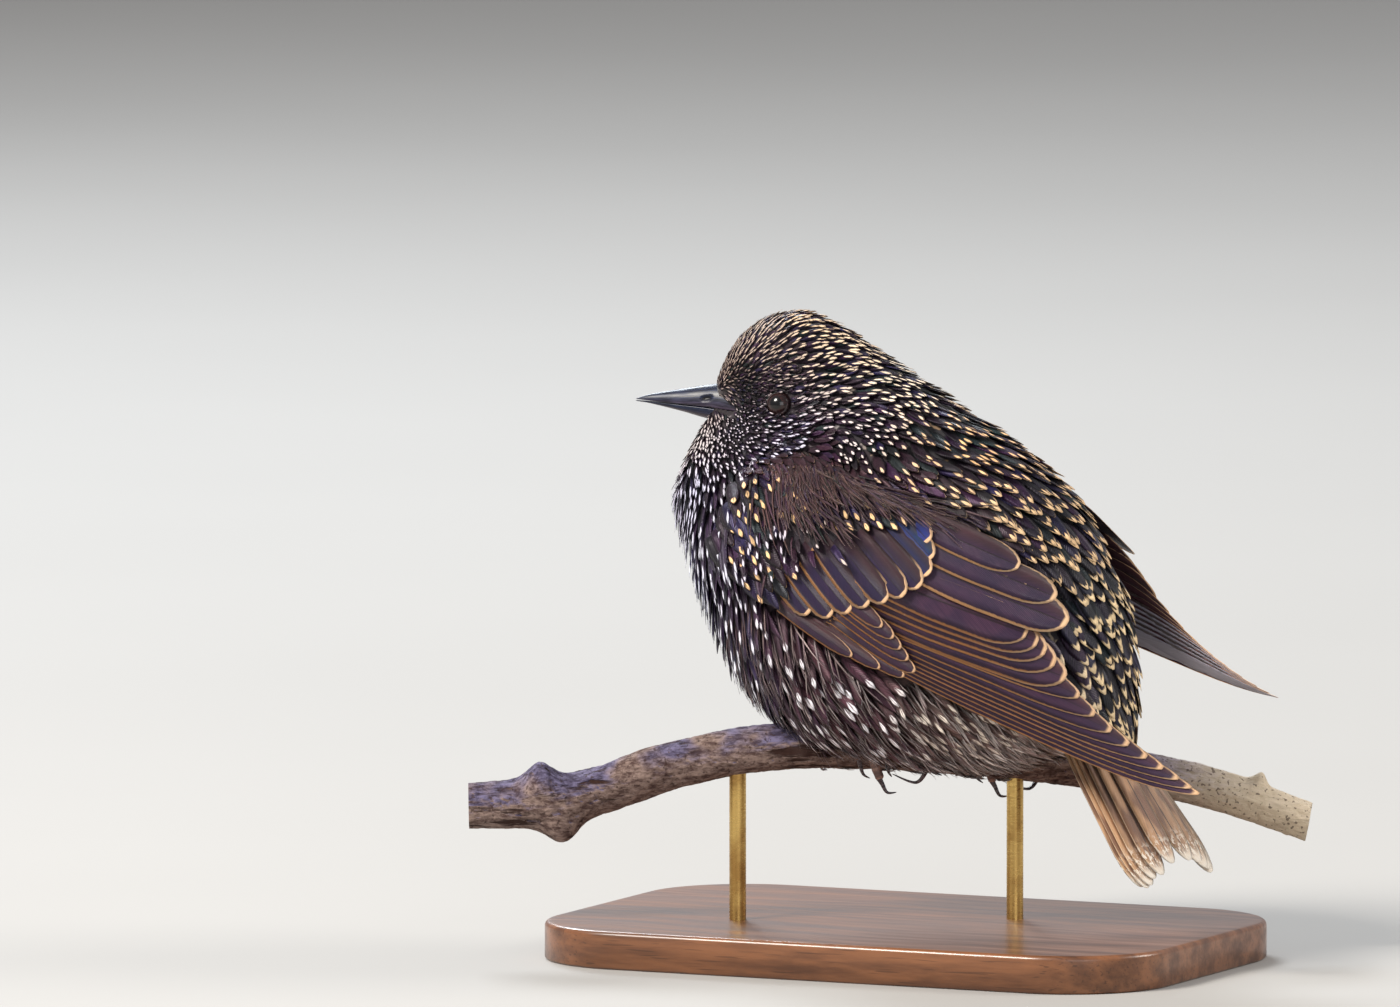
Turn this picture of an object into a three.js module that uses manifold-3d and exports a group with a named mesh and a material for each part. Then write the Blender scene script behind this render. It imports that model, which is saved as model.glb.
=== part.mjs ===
// European starling in winter plumage, fluffed up on a cut length of its branch, held over a base.
// Millimetres, +Z up, origin at the centre of the base's underside.
// The bird faces -X, its own left side is -Y, and its middle plane is y = 0.
import * as THREE from 'three';
import Module from 'manifold-3d';

const wasm = await Module();
wasm.setup();

// Driving dimensions
const GAP = 0.3;                // between neighbouring solids
const TARSUS_RADIUS = 1.3;
const EYE_RADIUS = 3.1;
const PERCH_RADIUS = 5.4;
const ROD_RADIUS = 2;
const BASE_SIZE = { length: 160, width: 104, height: 9, corner: 26, chamfer: 1.2 };

// Sections of head and body from the bill to the end of the rump, each a tilted oval:
// its highest point and lowest point in side view, and half widths of its upper and lower part.
const BODY_SECTIONS = [
  { backX: -48.5, backZ: 132.0, bellyX: -48.5, bellyZ: 131.0, upper: 0.1, lower: 0.1 },
  { backX: -46.5, backZ: 139.0, bellyX: -48.5, bellyZ: 125.5, upper: 6.0, lower: 6.5 },
  { backX: -41.0, backZ: 148.0, bellyX: -51.0, bellyZ: 121.0, upper: 9.5, lower: 11.0 },
  { backX: -33.0, backZ: 153.0, bellyX: -55.0, bellyZ: 115.0, upper: 12.0, lower: 16.5 },
  { backX: -23.5, backZ: 153.3, bellyX: -57.0, bellyZ: 107.0, upper: 13.5, lower: 23.5 },
  { backX: -13.5, backZ: 148.5, bellyX: -54.5, bellyZ: 97.0, upper: 15.0, lower: 30.0 },
  { backX: -3.0, backZ: 142.0, bellyX: -50.0, bellyZ: 86.0, upper: 20.0, lower: 35.5 },
  { backX: 10.0, backZ: 134.0, bellyX: -44.0, bellyZ: 73.0, upper: 29.0, lower: 39.5 },
  { backX: 23.5, backZ: 126.3, bellyX: -35.5, bellyZ: 60.5, upper: 36.0, lower: 41.0 },
  { backX: 36.0, backZ: 117.5, bellyX: -21.0, bellyZ: 50.5, upper: 37.5, lower: 41.0 },
  { backX: 46.0, backZ: 107.0, bellyX: -1.0, bellyZ: 46.5, upper: 35.5, lower: 38.0 },
  { backX: 52.5, backZ: 95.0, bellyX: 18.0, bellyZ: 45.5, upper: 30.5, lower: 32.0 },
  { backX: 55.8, backZ: 83.0, bellyX: 31.0, bellyZ: 47.0, upper: 24.5, lower: 26.0 },
  { backX: 57.2, backZ: 72.0, bellyX: 40.0, bellyZ: 50.0, upper: 19.5, lower: 20.0 },
  { backX: 58.0, backZ: 62.0, bellyX: 47.5, bellyZ: 51.5, upper: 14.0, lower: 13.0 },
  { backX: 58.5, backZ: 55.0, bellyX: 57.0, bellyZ: 54.0, upper: 4.0, lower: 4.0 },
];
const BODY_RINGS = 31;
const BODY_SIDES = 26;

// The head turns to the bird's left above the line from nape to throat
const HEAD_LINE = { napeX: 2, napeZ: 139.5, throatX: -53, throatZ: 112 };
const NECK_LINE = { napeX: 14, napeZ: 132, throatX: -57, throatZ: 97.5 };
const HEAD_TURN = THREE.MathUtils.degToRad(10);
const HEAD_PIVOT_X = -16;
const TURN_FADE = 22;

// The face is pinched in round the root of the bill
const BILL_ROOT = { x: -44.4, z: 131.3 };
const FACE_PINCH = 0.6;
const FACE_PINCH_SPREAD = 6;

// Bill stations: distance ahead of the root, culmen, mouth line and lower edge above the root's level
const BILL_STATIONS = [
  { ahead: -4.2, top: 3.6, mouth: -2.0, bottom: -4.6, half: 5.0 },
  { ahead: 1.5, top: 4.5, mouth: -1.3, bottom: -4.6, half: 4.1 },
  { ahead: 6.0, top: 4.0, mouth: -0.9, bottom: -3.8, half: 3.3 },
  { ahead: 11.0, top: 3.1, mouth: -0.6, bottom: -2.5, half: 2.5 },
  { ahead: 16.0, top: 2.2, mouth: -0.3, bottom: -1.4, half: 1.6 },
  { ahead: 20.0, top: 1.4, mouth: -0.05, bottom: -0.6, half: 0.95 },
  { ahead: 22.9, top: 0.45, mouth: 0.1, bottom: -0.25, half: 0.3 },
];
const NOSTRIL = { ahead: 4.8, up: 1.1, length: 2.6, height: 0.9, depth: 1.1 };
const EYE_PLACE = { section: 4.78, angle: THREE.MathUtils.degToRad(71), sink: 1.7 };
const LID = { radius: 2.62, thickness: 0.5 };

// Folded wing: leading edge from the bend to the tip, its bow, its roll and how round it lies on the body
const WING_START = new THREE.Vector3(-29, -37.5, 92);
const WING_TIP = new THREE.Vector3(84.5, -20, 47);
const WING_BOW_OUT = 8.8;
const WING_BOW_DOWN = 4.5;
const WING_ROLL = { start: -2.5, middle: -1.5, end: 60 };
const WING_ROUND = { start: 37.5, middle: 82, end: 60 };
const WING_INSIDE = -2.5;
const WING_OUTSIDE = 12;
const WING_TUCK = { depth: 6, start: 20, end: 44 };
const RIGHT_WING_ROLL = THREE.MathUtils.degToRad(8);
const RIGHT_WING_LIFT = THREE.MathUtils.degToRad(9.6);
const RIGHT_WING_CLOSE = THREE.MathUtils.degToRad(2.7);

// Outline of the folded wing and of its arm: the run, and the lower and upper edges across it
const WING_OUTLINE = [
  { run: -11, low: 7, high: 19 },
  { run: -6, low: 2, high: 28 },
  { run: 8, low: -0.8, high: 36.5 },
  { run: 25, low: -1, high: 40.5 },
  { run: 45, low: -0.8, high: 42 },
  { run: 62, low: -0.8, high: 42 },
  { run: 76, low: -0.8, high: 40 },
  { run: 84, low: -1, high: 35 },
  { run: 94, low: -1.5, high: 23 },
  { run: 106, low: -2.5, high: 14 },
  { run: 118, low: -3.5, high: 8 },
  { run: 126, low: -3.5, high: 2.5 },
];
const ARM_OUTLINE = [
  { run: -9, low: 10, high: 15, drop: 2.4 },
  { run: -6, low: 6, high: 22, drop: 0.8 },
  { run: 4, low: 1, high: 31, drop: 0.1 },
  { run: 18, low: 0.5, high: 36, drop: 0 },
  { run: 34, low: 1, high: 39, drop: 0.4 },
  { run: 45, low: 4, high: 40, drop: 1.0 },
  { run: 54, low: 20, high: 40, drop: 1.6 },
];

const ARM_CLEAR = 0.5;

// Flight feathers: tips as run and across, from the longest primary up to the innermost tertial
const FLIGHT_TIPS = [
  [124.4, -0.9], [121, 0.9], [116.5, 2.8], [111, 4.6], [105, 6.4], [99, 8.6],
  [93, 11.5], [87.5, 15], [82.5, 18.4], [77.5, 21], [73, 22.8],
  [79.8, 30], [74, 34.8], [64, 37.6],
];
const FLIGHT_GROUPS = [
  { from: 0, until: 6, low: 1.4, spacing: 1.3, width: 5.4, widening: 0.35, rounding: 22, bend: 2.4 },
  { from: 6, until: 11, low: 9.4, spacing: 1.7, width: 9.5, widening: 0.2, rounding: 9, bend: 0.6 },
  { from: 11, until: 14, low: 23.5, spacing: 4.2, width: 11, widening: -1.6, rounding: 8, bend: 0 },
];
const FLIGHT_ROOT_RUN = 24;
const FLIGHT_ROOT_STEP = 0.9;
const FLIGHT_LOWEST = -1.15;
const FLIGHT_STEP = 0.34;
const VANE_THICKNESS = 0.75;
const VANE_STEP = 17;
const ROUNDED_END = [0, 0.72, 1];
const COVERT_END = [0, 0.75, 1];

// Coverts lie over the roots of the flight feathers; tips as run and across, slopes in degrees
const COVERTS = { edgeHeight: -0.4, rise: 4, riseWidth: 22, fallStart: 35, fall: 4.4 };
const COVERT_TILT = 0.22;
const COVERT_ROWS = {
  primary: {
    tips: [[50, 3.6], [47.5, 6.4], [44.5, 9.2], [40, 11]],
    length: 26, width: 4.8, slope: { first: -4, last: -8 }, rounding: 5, lift: 0.5,
  },
  greater: {
    tips: [[22.5, 5], [29.5, 8.2], [34, 12], [38.5, 16], [43, 19.4], [46, 23], [46.5, 27.4], [44.5, 31]],
    length: 19, width: 6.4, slope: { first: -16, last: -18 }, rounding: 4, lift: 0.5,
  },
  median: {
    tips: [[0.5, 12.5], [3, 17.5], [10, 21], [17, 24.6], [24, 28], [31, 31.5]],
    length: 11, width: 6.6, slope: { first: -16, last: -18 }, rounding: 4, lift: 0.7,
  },
};

// Tail: root under the rump, slope below the horizontal, half widths
const TAIL_ROOT = new THREE.Vector3(34.6, 0, 79.6);
const TAIL_SLOPE = THREE.MathUtils.degToRad(56.9);
const TAIL_PAIRS = 6;
const TAIL_MIDDLE_LENGTH = 64.5;
const TAIL_OUTER_LENGTH = 68;
const TAIL_HALF_WIDTH = 20.5;
const TAIL_SPLIT = 4.6;
const TAIL_VANE_HALF = 5.4;
const TAIL_STRAIGHT = 0.84;
const TAIL_HIGH = 2.3;
const TAIL_STEP = 0.36;
const TAIL_LOW = TAIL_HIGH - TAIL_STEP * (2 * TAIL_PAIRS - 1) - VANE_THICKNESS;
const TAIL_ROOM = [
  { run: 0, half: 10 }, { run: 16, half: 17 }, { run: 32, half: 23 }, { run: 50, half: 26 },
  { run: 60, half: 26.5 }, { run: 69, half: 24 },
];

// The perch runs across the bird's line and bends clear behind the tail; stations give
// distance along it, height, how far it lies back, and thickness factor
const PERCH_HEADING = THREE.MathUtils.degToRad(25);
const PERCH_STATIONS = [
  { along: -104, up: 36.2, back: 0, girth: 1.0 },
  { along: -86, up: 37.0, back: 0, girth: 1.12 },
  { along: -72.5, up: 40.2, back: 0, girth: 1.04 },
  { along: -53.5, up: 46.4, back: 0, girth: 1.03 },
  { along: -30, up: 50.4, back: 0, girth: 1.03 },
  { along: -6, up: 50.6, back: 0, girth: 1.0 },
  { along: 22, up: 48.0, back: 1.5, girth: 0.99 },
  { along: 42, up: 45.4, back: 6, girth: 0.97 },
  { along: 60, up: 42.4, back: 8.6, girth: 0.94 },
  { along: 76, up: 38.4, back: 9, girth: 0.9 },
  { along: 96, up: 31.4, back: 9, girth: 0.86 },
];
const PERCH_KNOTS = [
  { along: -86, turn: 15, height: 4.2, spread: 4.5, width: 50 },
  { along: -83, turn: 165, height: 4.0, spread: 4.0, width: 42 },
  { along: -62, turn: 60, height: 1.2, spread: 6, width: 60 },
  { along: 82.5, turn: 8, height: 2.6, spread: 1.8, width: 28 },
];
const PERCH_RINGS = 34;
const PERCH_SIDES = 12;
const ROD_ALONG = [-40, 26];
const ROD_SINK = 4.5;

// Feet, in perch measures: along it, out on the near side of it, and up
const FOOT_BASE = { along: -8, out: 3.2, up: 58.0 };
const TARSUS_TOP = { along: -3, out: 3.8, up: 69 };
const TOE_RADIUS = 1.15;
const CLAW_RADIUS = 0.82;
const RIGHT_FOOT_SHIFT = 27;
const TOES = {
  inner: {
    path: [[-8.5, 3.4, 57.6], [-11.6, 5.6, 55.2], [-11.8, 7.2, 51.4], [-11.2, 6.9, 48.2]],
    claw: [[-11.0, 6.7, 47.2], [-10.2, 6.0, 44.6], [-8.6, 4.6, 43.4]],
  },
  middle: {
    path: [[-8.5, 3.6, 57.6], [-8.8, 6.4, 54.6], [-8.2, 7.4, 49.6], [-6.1, 7.4, 43.4]],
    claw: [[-5.75, 7.35, 42.5], [-4.5, 7.0, 40.3], [-2.3, 6.8, 40.3]],
  },
  outer: {
    path: [[-7.6, 3.6, 57.6], [-4.4, 6.0, 55.0], [-4.0, 7.3, 51.4], [-4.4, 7.2, 48.4]],
    claw: [[-4.5, 7.0, 47.4], [-4.2, 6.4, 45.2], [-3.4, 5.0, 43.8]],
  },
  hallux: {
    path: [[-7.4, 3.4, 57.4], [0.6, 5.9, 55.4], [5.2, 7.3, 51.6], [5.3, 7.1, 47.2]],
    claw: [[5.2, 6.9, 46.1], [2.4, 4.6, 42.4], [-3.3, 1.6, 44.1]],
  },
};

const COLOURS = {
  plumage: 0x3b2733, face: 0x4a3a40, wing: 0x4a3038, tail: 0x9a7a58, bill: 0x33343a,
  eye: 0x1c0f0b, leg: 0x5e4036, claw: 0x2c2526, bark: 0x6b5853, wood: 0x6d4529, rod: 0xb08d4a,
};

// Small maths helpers
const smoothstep = (value, low, high) => THREE.MathUtils.smoothstep(value, low, high);

// Quadratic through a start, a middle and an end value
function through({ start, middle, end }, q) {
  return start * (1 - q) * (1 - 2 * q) + middle * 4 * q * (1 - q) + end * q * (2 * q - 1);
}

// Catmull-Rom value of one key of a list of stations at a fractional index
function between(stations, index, key) {
  const last = stations.length - 1;
  const i = Math.min(Math.floor(index), last - 1);
  const f = index - i;
  const at = (k) => stations[THREE.MathUtils.clamp(i + k, 0, last)][key];
  const [a, b, c, d] = [at(-1), at(0), at(1), at(2)];
  return 0.5 * (2 * b + (c - a) * f + (2 * a - 5 * b + 4 * c - d) * f * f + (3 * b - a - 3 * c + d) * f ** 3);
}

// Fractional index at which a rising key of the stations reaches a value
function indexAt(stations, key, value) {
  let low = 0;
  let high = stations.length - 1;
  for (let step = 0; step < 40; step++) {
    const middle = (low + high) / 2;
    if (between(stations, middle, key) < value) low = middle;
    else high = middle;
  }
  return (low + high) / 2;
}

// Solids
function toSolid(points, faces) {
  const vertProperties = new Float32Array(points.flatMap((p) => [p.x, p.y, p.z]));
  let volume = 0;
  const corner = new THREE.Vector3();
  for (const [a, b, c] of faces) volume += points[a].dot(corner.crossVectors(points[b], points[c]));
  const turned = volume < 0 ? faces.map(([a, b, c]) => [a, c, b]) : faces;
  const triVerts = new Uint32Array(turned.flat());
  return new wasm.Manifold(new wasm.Mesh({ numProp: 3, vertProperties, triVerts }));
}

// Closed tube through rings of equal point counts, each end closed to its ring's middle
function loft(rings) {
  const sides = rings[0].length;
  const points = rings.flat();
  const faces = [];
  for (let i = 0; i < rings.length - 1; i++) {
    for (let j = 0; j < sides; j++) {
      const a = i * sides + j;
      const b = i * sides + (j + 1) % sides;
      faces.push([a, b, b + sides], [a, b + sides, a + sides]);
    }
  }
  for (const [ring, first] of [[rings[0], 0], [rings.at(-1), (rings.length - 1) * sides]]) {
    const middle = ring.reduce((sum, p) => sum.add(p), new THREE.Vector3()).divideScalar(sides);
    points.push(middle);
    const top = points.length - 1;
    for (let j = 0; j < sides; j++) {
      const a = first + j;
      const b = first + (j + 1) % sides;
      faces.push(first === 0 ? [b, a, top] : [a, b, top]);
    }
  }
  return toSolid(points, faces);
}

// Sheet between an outer and an inner face, both split into triangles along the same diagonals
function sheet(outer, inner) {
  const rows = outer.length;
  const columns = outer[0].length;
  const points = [...outer.flat(), ...inner.flat()];
  const under = rows * columns;
  const faces = [];
  for (let i = 0; i < rows - 1; i++) {
    for (let j = 0; j < columns - 1; j++) {
      const a = i * columns + j;
      const b = a + 1;
      const c = a + columns;
      const d = c + 1;
      faces.push([a, b, d], [a, d, c]);
      faces.push([a + under, d + under, b + under], [a + under, c + under, d + under]);
    }
  }
  const wall = (a, b) => faces.push([b, a, a + under], [b, a + under, b + under]);
  for (let j = 0; j < columns - 1; j++) {
    wall(j, j + 1);
    wall((rows - 1) * columns + j + 1, (rows - 1) * columns + j);
  }
  for (let i = 0; i < rows - 1; i++) {
    wall((i + 1) * columns, i * columns);
    wall(i * columns + columns - 1, (i + 1) * columns + columns - 1);
  }
  return toSolid(points, faces);
}

// Ring of points round a centre, in the plane of two directions
function ringAround(centre, first, second, radius, sides) {
  return Array.from({ length: sides }, (_, j) => {
    const angle = (2 * Math.PI * j) / sides;
    return centre.clone().addScaledVector(first, radius * Math.cos(angle))
      .addScaledVector(second, radius * Math.sin(angle));
  });
}

// Round rod through points, its radius given at each fraction of the way, with blunt rounded ends
function rodThrough(points, radiusAt, steps, sides) {
  const curve = new THREE.CatmullRomCurve3(points);
  const side = new THREE.Vector3();
  const rings = Array.from({ length: steps + 1 }, (_, i) => {
    const f = i / steps;
    const tangent = curve.getTangentAt(f);
    if (i === 0) side.crossVectors(tangent, new THREE.Vector3(0.3, 0.2, 1)).normalize();
    side.addScaledVector(tangent, -side.dot(tangent)).normalize();
    const across = new THREE.Vector3().crossVectors(tangent, side);
    return ringAround(curve.getPointAt(f), side, across, radiusAt(f), sides);
  });
  return loft(rings);
}

function fromGeometry(geometry) {
  const positions = geometry.getAttribute('position');
  const seen = new Map();
  const points = [];
  const slotOf = (i) => {
    const p = new THREE.Vector3().fromBufferAttribute(positions, i);
    const key = p.toArray().map((n) => Math.round(n * 1e4)).join();
    if (!seen.has(key)) seen.set(key, points.push(p) - 1);
    return seen.get(key);
  };
  const index = geometry.index ? Array.from(geometry.index.array) : [...Array(positions.count).keys()];
  const faces = [];
  for (let i = 0; i < index.length; i += 3) {
    const face = [slotOf(index[i]), slotOf(index[i + 1]), slotOf(index[i + 2])];
    if (new Set(face).size === 3) faces.push(face);
  }
  return toSolid(points, faces);
}

const joined = (solids) => solids.reduce((all, solid) => all.add(solid));

function largest(solid) {
  const pieces = solid.decompose();
  return pieces.reduce((best, piece) => (piece.volume() > best.volume() ? piece : best));
}

// Head and body
function lineSide(line, x, z) {
  const run = new THREE.Vector2(line.napeX - line.throatX, line.napeZ - line.throatZ).normalize();
  return (x - line.napeX) * run.y - (z - line.napeZ) * run.x;
}

// Turns a point of the head about the neck, fading out below the head's line
function turnHead(point) {
  const share = 1 - smoothstep(lineSide(HEAD_LINE, point.x, point.z), 0, TURN_FADE);
  const angle = HEAD_TURN * share;
  const x = point.x - HEAD_PIVOT_X;
  return new THREE.Vector3(
    HEAD_PIVOT_X + x * Math.cos(angle) - point.y * Math.sin(angle),
    point.y * Math.cos(angle) + x * Math.sin(angle),
    point.z,
  );
}

// Point of the plumage at a section, 0 at the bill, and an angle, 0 on the back and 90 degrees at the right
function straightBodyPoint(section, angle) {
  const value = (key) => between(BODY_SECTIONS, section, key);
  const high = Math.cos(angle);
  const lower = smoothstep(-high, -0.35, 0.75);
  const half = value('upper') * (1 - lower) + value('lower') * lower;
  const x = (value('backX') * (1 + high) + value('bellyX') * (1 - high)) / 2;
  const z = (value('backZ') * (1 + high) + value('bellyZ') * (1 - high)) / 2;
  const fromBill = Math.hypot(x - BILL_ROOT.x, z - BILL_ROOT.z) / FACE_PINCH_SPREAD;
  const pinch = 1 - FACE_PINCH * Math.exp(-fromBill * fromBill / 2);
  return new THREE.Vector3(x, half * Math.sin(angle) * pinch, z);
}

const bodyPoint = (section, angle) => turnHead(straightBodyPoint(section, angle));

function bodySolid() {
  const last = BODY_SECTIONS.length - 1;
  const rings = Array.from({ length: BODY_RINGS + 1 }, (_, i) => {
    const section = last * i / BODY_RINGS;
    return Array.from({ length: BODY_SIDES }, (_, j) => bodyPoint(section, (2 * Math.PI * j) / BODY_SIDES));
  });
  return loft(rings);
}

// Large block on the tail side of a line in side view, moved along by an offset
function blockBehind(line, offset) {
  const reach = 400;
  const slope = Math.atan2(line.napeZ - line.throatZ, line.napeX - line.throatX);
  const block = new THREE.BoxGeometry(reach, reach, reach);
  block.translate(0, 0, -reach / 2 - offset);
  block.rotateY(-slope);
  block.translate(line.napeX, 0, line.napeZ);
  return fromGeometry(block);
}

// Bill
function billPoint(ahead, side, up) {
  return turnHead(new THREE.Vector3(BILL_ROOT.x - ahead, side, BILL_ROOT.z + up));
}

// Half of the bill above or below the mouth line, grown on all sides by an amount
function billHalf(isUpper, grow) {
  const slit = GAP / 2;
  const rings = BILL_STATIONS.map((station, i) => {
    const edge = isUpper ? station.top + grow : station.bottom - grow;
    const mouth = isUpper ? station.mouth + slit - grow : station.mouth - slit + grow;
    const half = station.half + grow;
    const ends = { 0: -grow, [BILL_STATIONS.length - 1]: grow };
    const ahead = station.ahead + (ends[i] ?? 0);
    const outline = [[1, 0], [0.93, 0.4], [0.62, 0.8], [0, 1], [-0.62, 0.8], [-0.93, 0.4], [-1, 0], [0, -0.02]];
    return outline.map(([w, h]) => billPoint(ahead, w * half, mouth + h * (edge - mouth)));
  });
  return loft(rings);
}

function nostril(side) {
  const pit = new THREE.SphereGeometry(1, 10, 6);
  pit.scale(NOSTRIL.length / 2, NOSTRIL.depth, NOSTRIL.height / 2);
  const skin = 3.1;
  const place = billPoint(NOSTRIL.ahead, side * skin, NOSTRIL.up);
  pit.rotateY(THREE.MathUtils.degToRad(8));
  pit.translate(place.x, place.y, place.z);
  return fromGeometry(pit);
}

// Eyes: a ball sunk in the face, with a lid ring round it on the face
function eyeFrame(side) {
  const step = 0.02;
  const { section, angle } = EYE_PLACE;
  const place = bodyPoint(section, side * angle);
  const along = bodyPoint(section + step, side * angle).sub(place);
  const around = bodyPoint(section, side * (angle + step)).sub(place);
  const out = new THREE.Vector3().crossVectors(along, around).normalize();
  if (out.y * side < 0) out.negate();
  return { place, out };
}

function eyeBall(side, grow) {
  const { place, out } = eyeFrame(side);
  const ball = new THREE.SphereGeometry(EYE_RADIUS + grow, 14, 9);
  const centre = place.clone().addScaledVector(out, -EYE_PLACE.sink);
  ball.translate(centre.x, centre.y, centre.z);
  return fromGeometry(ball);
}

function lidRing(side) {
  const { place, out } = eyeFrame(side);
  const ring = new THREE.TorusGeometry(LID.radius, LID.thickness, 5, 16);
  const turn = new THREE.Quaternion().setFromUnitVectors(new THREE.Vector3(0, 0, 1), out);
  ring.applyQuaternion(turn);
  ring.translate(place.x, place.y, place.z);
  return fromGeometry(ring);
}

// Wings
const wingAxis = WING_TIP.clone().sub(WING_START);
const WING_CHORD = wingAxis.length();
wingAxis.normalize();
const wingOut = new THREE.Vector3().crossVectors(wingAxis, new THREE.Vector3(0, 0, 1)).normalize();
const wingUp = new THREE.Vector3().crossVectors(wingOut, wingAxis);

// Point of the left wing: run along the leading edge, across from it over the body, and height off its face;
// its upper edge is tucked into the plumage of the back
function leftWingPoint(run, across, height) {
  const q = run / WING_CHORD;
  const bow = 4 * q * (1 - q);
  const roll = THREE.MathUtils.degToRad(through(WING_ROLL, q));
  const radius = through(WING_ROUND, q);
  const out = wingOut.clone().multiplyScalar(Math.cos(roll)).addScaledVector(wingUp, Math.sin(roll));
  const up = wingUp.clone().multiplyScalar(Math.cos(roll)).addScaledVector(wingOut, -Math.sin(roll));
  const angle = across / radius;
  const lie = radius + height - WING_TUCK.depth * smoothstep(across, WING_TUCK.start, WING_TUCK.end);
  return WING_START.clone()
    .addScaledVector(wingAxis, run)
    .addScaledVector(wingOut, WING_BOW_OUT * bow)
    .addScaledVector(wingUp, -WING_BOW_DOWN * bow)
    .addScaledVector(out, lie * Math.cos(angle) - radius)
    .addScaledVector(up, lie * Math.sin(angle));
}

// The right wing mirrors the left one, rolled about its length, and lifted and closed a little about its bend
function wingPoint(side, run, across, height) {
  const p = leftWingPoint(run, across, height);
  if (side < 0) return p;
  const pivot = new THREE.Vector3(WING_START.x, -WING_START.y, WING_START.z);
  const length = new THREE.Vector3(wingAxis.x, -wingAxis.y, wingAxis.z).normalize();
  return new THREE.Vector3(p.x, -p.y, p.z).sub(pivot)
    .applyAxisAngle(length, RIGHT_WING_ROLL)
    .applyAxisAngle(new THREE.Vector3(0, 1, 0), -RIGHT_WING_LIFT)
    .applyAxisAngle(new THREE.Vector3(0, 0, 1), -RIGHT_WING_CLOSE)
    .add(pivot);
}

// Room that the folded wing takes, as rows along its run with the lower and upper edge across it
function wingRoom(side, inside, outside, grow) {
  const columns = 7;
  const face = (height) => WING_OUTLINE.map((row, i) => {
    const end = i === 0 ? -grow : i === WING_OUTLINE.length - 1 ? grow : 0;
    return Array.from({ length: columns }, (_, j) => {
      const low = row.low - grow;
      const across = low + (row.high + grow - low) * j / (columns - 1);
      return wingPoint(side, row.run + end, across, height);
    });
  });
  return sheet(face(outside), face(inside));
}

// Height of the coverts' face over the stack of flight feathers, lowest at the leading edge
function covertHeight(across) {
  return COVERTS.edgeHeight + COVERTS.rise * smoothstep(across, 0, COVERTS.riseWidth)
    - COVERTS.fall * smoothstep(across, COVERTS.fallStart, COVERTS.fallStart + 7);
}

// Arm of the wing under the coverts, sunk in the plumage
function wingArm(side) {
  const columns = 7;
  const place = (row, j) => row.low + (row.high - row.low) * j / (columns - 1);
  const span = Array.from({ length: columns }, (_, j) => j);
  const outer = ARM_OUTLINE.map((row) => span.map((j) => (
    wingPoint(side, row.run, place(row, j), covertHeight(place(row, j)) - row.drop)
  )));
  const inner = ARM_OUTLINE.map((row) => span.map((j) => (
    wingPoint(side, row.run, place(row, j), WING_INSIDE + ARM_CLEAR + row.drop)
  )));
  return sheet(outer, inner);
}

// One vane on the wing: from its root to its tip along a bent middle line, with a rounded end
function wingVane(side, { root, tip, width, rounding, bend, thickness, ends, heightAt }) {
  const length = Math.hypot(tip[0] - root[0], tip[1] - root[1]);
  const along = [(tip[0] - root[0]) / length, (tip[1] - root[1]) / length];
  const straight = 1 - rounding / length;
  const steps = Math.max(2, Math.round((length - rounding) / VANE_STEP));
  const stations = Array.from({ length: steps }, (_, i) => straight * i / steps);
  stations.push(...ends.map((share) => straight + (1 - straight) * share));
  const row = (f, thick) => [-1, 1].map((j) => {
    const past = Math.max(0, (f - straight) / (1 - straight));
    const half = width / 2 * (0.8 + 0.2 * smoothstep(f, 0, 0.5)) * Math.sqrt(1.03 - past * past);
    const sag = bend * 4 * f * (1 - f);
    const run = root[0] + along[0] * length * f - along[1] * (half * j + sag);
    const across = root[1] + along[1] * length * f + along[0] * (half * j + sag);
    return wingPoint(side, run, across, heightAt(f, across, j) - thick * (1 - 0.3 * past));
  });
  return sheet(stations.map((f) => row(f, 0)), stations.map((f) => row(f, thickness)));
}

// Flight feathers, the longest primary lowest and each next one on top of it, up to the tertials
function flightFeathers(side) {
  return FLIGHT_TIPS.map((tip, i) => {
    const group = FLIGHT_GROUPS.find((candidate) => i < candidate.until);
    const order = i - group.from;
    return wingVane(side, {
      root: [FLIGHT_ROOT_RUN + FLIGHT_ROOT_STEP * i, group.low + group.spacing * order + group.width / 2],
      tip,
      width: group.width + group.widening * order,
      rounding: group.rounding,
      bend: group.bend,
      thickness: VANE_THICKNESS,
      ends: ROUNDED_END,
      heightAt: () => FLIGHT_LOWEST + FLIGHT_STEP * i,
    });
  });
}

// Coverts of one row, sunk at the root and lifted at the tip, each overlapping the next one below
function covertRow(side, { tips, length, width, slope, rounding, lift }) {
  return tips.map((tip, i) => {
    const angle = THREE.MathUtils.degToRad(slope.first + (slope.last - slope.first) * i / (tips.length - 1));
    const root = [tip[0] - length * Math.cos(angle), tip[1] - length * Math.sin(angle)];
    return wingVane(side, {
      root, tip, width, rounding, bend: 0, thickness: VANE_THICKNESS + lift, ends: COVERT_END,
      heightAt: (f, across, j) => covertHeight(across) + lift * (1.6 * f - 0.6) + COVERT_TILT * j,
    });
  });
}

function wingSolid(side) {
  const coverts = Object.values(COVERT_ROWS).flatMap((row) => covertRow(side, row));
  return joined([wingArm(side), ...flightFeathers(side), ...coverts]);
}

// Tail
const tailAlong = new THREE.Vector3(Math.cos(TAIL_SLOPE), 0, -Math.sin(TAIL_SLOPE));
const tailUp = new THREE.Vector3(Math.sin(TAIL_SLOPE), 0, Math.cos(TAIL_SLOPE));

function tailPoint(run, across, height) {
  return TAIL_ROOT.clone().addScaledVector(tailAlong, run).addScaledVector(tailUp, height)
    .add(new THREE.Vector3(0, across, 0));
}

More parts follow.
